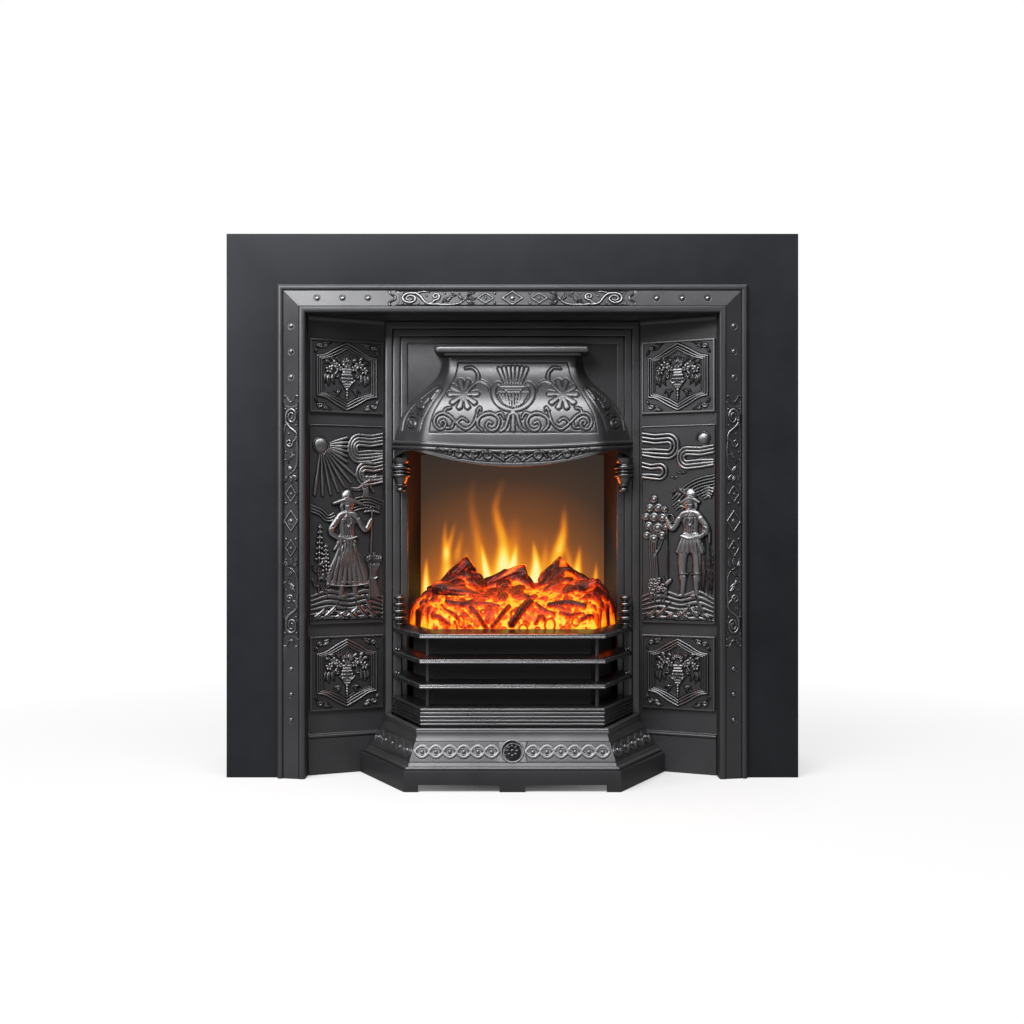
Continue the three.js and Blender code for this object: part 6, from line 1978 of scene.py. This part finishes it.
FLAMES = (
    # Strength, half width at the foot and at the tip, then the flame's line in the picture
    (0.62, 5.0, 1.2, ((427, 597), (426, 580), (426.5, 558))),
    (0.4, 6.5, 3.2, ((447, 592), (446.5, 566), (446, 549))),
    (0.36, 4.0, 1.6, ((446, 556), (444.8, 540), (445.4, 520))),
    (0.3, 3.6, 1.6, ((447.5, 552), (451, 538), (455.4, 523))),
    (0.2, 3.6, 2.2, ((457, 556), (459, 546), (462.5, 532))),
    (0.3, 5.0, 2.0, ((465, 586), (466, 570), (466.6, 552))),
    (0.2, 5.5, 3.4, ((482, 566), (477, 536), (471.6, 504), (473.4, 476))),
    (0.62, 5.2, 1.4, ((489, 588), (485.6, 568), (481.2, 545))),
    (0.46, 10.0, 5.0, ((500, 586), (502.4, 566), (503.6, 546))),
    (0.4, 5.6, 2.8, ((503, 562), (502.6, 540), (497.6, 520), (495.6, 507), (498.6, 494), (504, 478))),
    (0.58, 4.8, 1.4, ((511, 580), (514, 562), (516.4, 545))),
    (0.2, 9.0, 5.0, ((512, 580), (513.6, 550), (515, 516))),
    (0.72, 7.6, 1.3, ((533.6, 592), (536, 566), (533.2, 541))),
    (0.16, 4.4, 2.6, ((543, 570), (545, 556), (546, 540))),
    (0.42, 6.4, 4.4, ((553.6, 580), (556, 560), (559, 546), (562.4, 534))),
    (0.4, 4.8, 2.4, ((561, 548), (563.6, 530), (564, 518), (564.6, 506))),
    (0.22, 5.4, 2.0, ((570, 578), (568.6, 560), (566, 544))),
    (0.56, 6.2, 1.6, ((575.4, 588), (577.6, 568), (580.2, 546))),
    (0.44, 4.0, 1.2, ((594.6, 590), (595.6, 578), (596.4, 563))),
)


def flame_picture(px, py):
    """How bright the picture's painted light is, at places in the picture: a glow that rises, and flames
    over it.
    """
    heights = (452, 475, 500, 520, 545, 565, 582, 600)
    glow = np.interp(py, heights, (0.02, 0.1, 0.2, 0.28, 0.4, 0.53, 0.66, 0.74))
    side = np.clip(np.abs(px - 508) / 100, 0, 1)
    glow = glow * (1 - 0.52 * side ** 2.2) * np.where(px > 508, 1 - 0.1 * side, 1)
    flames = np.zeros_like(px)
    for strength, foot, tip, line in FLAMES:
        line = route(line, 48)
        share = np.linspace(0, 1, len(line))
        best = np.zeros_like(px)
        for (x, y), t in zip(line, share):
            wide = mix(foot, tip, t ** 0.8)
            fade = (1 - t ** 2.6) * min(1, 0.72 + 1.2 * t)
            reach = ((px - x) / wide) ** 2 + ((py - y) / (wide + 1.6)) ** 2
            best = np.maximum(best, fade * np.exp(-reach ** 1.15))
        flames = flames + strength * best
    return glow + flames * (0.55 + 0.62 * np.clip((py - 478) / 90, 0, 1))


def flame_screen():
    low, high = [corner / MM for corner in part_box("flame_screen")]
    r = Relief((low.x + 0.2, low.z + 0.2), (high.x - 0.2, high.z - 0.2), 1.35)
    front = np.stack([r.x, np.full_like(r.x, SCREEN_DEPTH), r.z], -1)
    px, up = in_picture(front)
    light_level = flame_picture(px, -up)
    stops = (
        (0.0, (0.030, 0.025, 0.022)), (0.12, (0.058, 0.034, 0.022)), (0.28, (0.19, 0.068, 0.022)),
        (0.45, (0.46, 0.125, 0.018)), (0.62, (0.83, 0.27, 0.016)), (0.8, (0.98, 0.46, 0.025)),
        (0.98, (1.0, 0.76, 0.11)), (1.2, (1.0, 0.9, 0.36)),
    )
    places, colours = zip(*stops)
    channels = [np.interp(light_level, places, column) for column in zip(*colours)]
    picture = np.stack([*channels, np.ones_like(light_level)], -1)
    piece = slab("flame_picture_screen", front, lambda edge: edge + (0, 2.4, 0), picture=picture)
    done(piece, "surround", finish["flame"], ["flame_screen"], 30)


# ================= CAD nodes that keep their shape =================

PLAIN = {
    "steel": [
        "back_cover", "top_baffle", "fan_housing", "outlet_grille", "vent_shutter",
    ],
    "bright": ["cover_screw_1", "cover_screw_2", "flame_mask", "flame_spindle", "fan_wheel",
               "heater_element", "vent_spindle"],
    "cheek": ["left_cheek", "right_cheek", "fuel_bed_case", "fire_housing"],
    "plastic": ["spindle_motor", "spindle_bearing", "fan_motor", "cable_gland"],
    "board": ["light_board"],
    "recess": ["soffit_plate", "left_bar_rod", "right_bar_rod", "left_end_post", "right_end_post",
               "left_lower_lug", "left_upper_lug", "right_lower_lug", "right_upper_lug"],
}


def dress_plain_nodes():
    for look, names in PLAIN.items():
        for name in names:
            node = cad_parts[name]
            node.data.materials.clear()
            node.data.materials.append(finish[look])


# ================= Room =================

def lamp(name, place, aim, size, power, colour=(1, 1, 1)):
    deselect()
    bpy.ops.object.light_add(type="AREA", location=place)
    light = bpy.context.object
    light.name = name
    light.data.energy = power
    light.data.color = colour
    light.data.shape = "RECTANGLE"
    light.data.size, light.data.size_y = size
    light.rotation_euler = (Vector(aim) - Vector(place)).to_track_quat("-Z", "Y").to_euler()
    return light


def white_room():
    world = bpy.data.worlds.new("studio")
    bpy.context.scene.world = world
    world.use_nodes = True
    tree = world.node_tree
    tree.nodes.clear()
    path = tree.nodes.new("ShaderNodeLightPath")
    white = tree.nodes.new("ShaderNodeBackground")
    white.inputs["Color"].default_value = (1, 1, 1, 1)
    soft = tree.nodes.new("ShaderNodeBackground")
    soft.inputs["Color"].default_value = (0.2, 0.2, 0.205, 1)
    blend = tree.nodes.new("ShaderNodeMixShader")
    out = tree.nodes.new("ShaderNodeOutputWorld")
    tree.links.new(path.outputs["Is Camera Ray"], blend.inputs[0])
    tree.links.new(soft.outputs[0], blend.inputs[1])
    tree.links.new(white.outputs[0], blend.inputs[2])
    tree.links.new(blend.outputs[0], out.inputs["Surface"])


def white_floor():
    deselect()
    bpy.ops.mesh.primitive_plane_add(size=12, location=(0, 0, 0))
    floor = named("studio_floor")
    s = Shade("white_floor")
    path = s.node("ShaderNodeLightPath", out="Is Camera Ray")
    tone = s.blend(path, (0.3, 0.3, 0.3), (0.6, 0.6, 0.6))
    paint = s.node("ShaderNodeBsdfPrincipled", None, {"Base Color": tone, "Roughness": 0.6})
    glow = s.node("ShaderNodeEmission", None, {"Color": (1, 1, 1, 1), "Strength": 1.0})
    reach = s.node("ShaderNodeVectorMath", {"operation": "LENGTH"}, {0: s.place()}, out="Value")
    white = reach.over(0.12, 0.6) * 0.75 + reach.over(0.5, 1.6) * 0.25
    mixed = s.node("ShaderNodeMixShader", None, {0: path * white, 1: paint, 2: glow})
    s.node("ShaderNodeOutputMaterial", None, {"Surface": mixed})
    floor.data.materials.append(s.material)
    floor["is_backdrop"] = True


def camera():
    deselect()
    place = (0, (PLATE_FACE - CAMERA_DISTANCE) * MM, CAMERA_HEIGHT * MM)
    bpy.ops.object.camera_add(location=place, rotation=(math.pi / 2, 0, 0))
    eye = bpy.context.object
    eye.name = "camera"
    eye.data.lens = LENS
    eye.data.sensor_width = 36
    eye.data.shift_x, eye.data.shift_y = SHIFT
    bpy.context.scene.camera = eye


def lights():
    lamp("key_light", (-1.2, -2.1, 2.35), (0, 0, 0.5), (1.6, 1.6), 95)
    lamp("top_light", (0.1, -1.35, 2.5), (0, 0, 0.5), (2.2, 0.8), 75)
    lamp("side_light", (-2.1, -1.1, 1.5), (0, 0, 0.5), (0.8, 1.3), 20)
    # The fire's own light on the bars and under the canopy
    for name, place, aim, size, power in (
        ("ember_light", (0, 20, 400), (0, -60, 200), (0.3, 0.08), 0.7),
        ("flame_light", (0, 120, 400), (0, -60, 640), (0.14, 0.1), 1.1),
    ):
        place, aim = [(x * MM, (y + PLATE_FACE) * MM, z * MM) for x, y, z in (place, aim)]
        lamp(name, place, aim, size, power, (1, 0.17, 0.02)).visible_camera = False


camera()
white_room()
white_floor()
surround()
tiled_sides()
inner_frame()
canopy()
ledge()
corbels()
basket()
shelf()
plinth()
ring_bands()
rosette()
fire()
flame_screen()
dress_plain_nodes()
lights()

bpy.context.scene.view_settings.view_transform = "Standard"
box = [[list(corner) for corner in pair] for pair in (cad_box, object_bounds())]
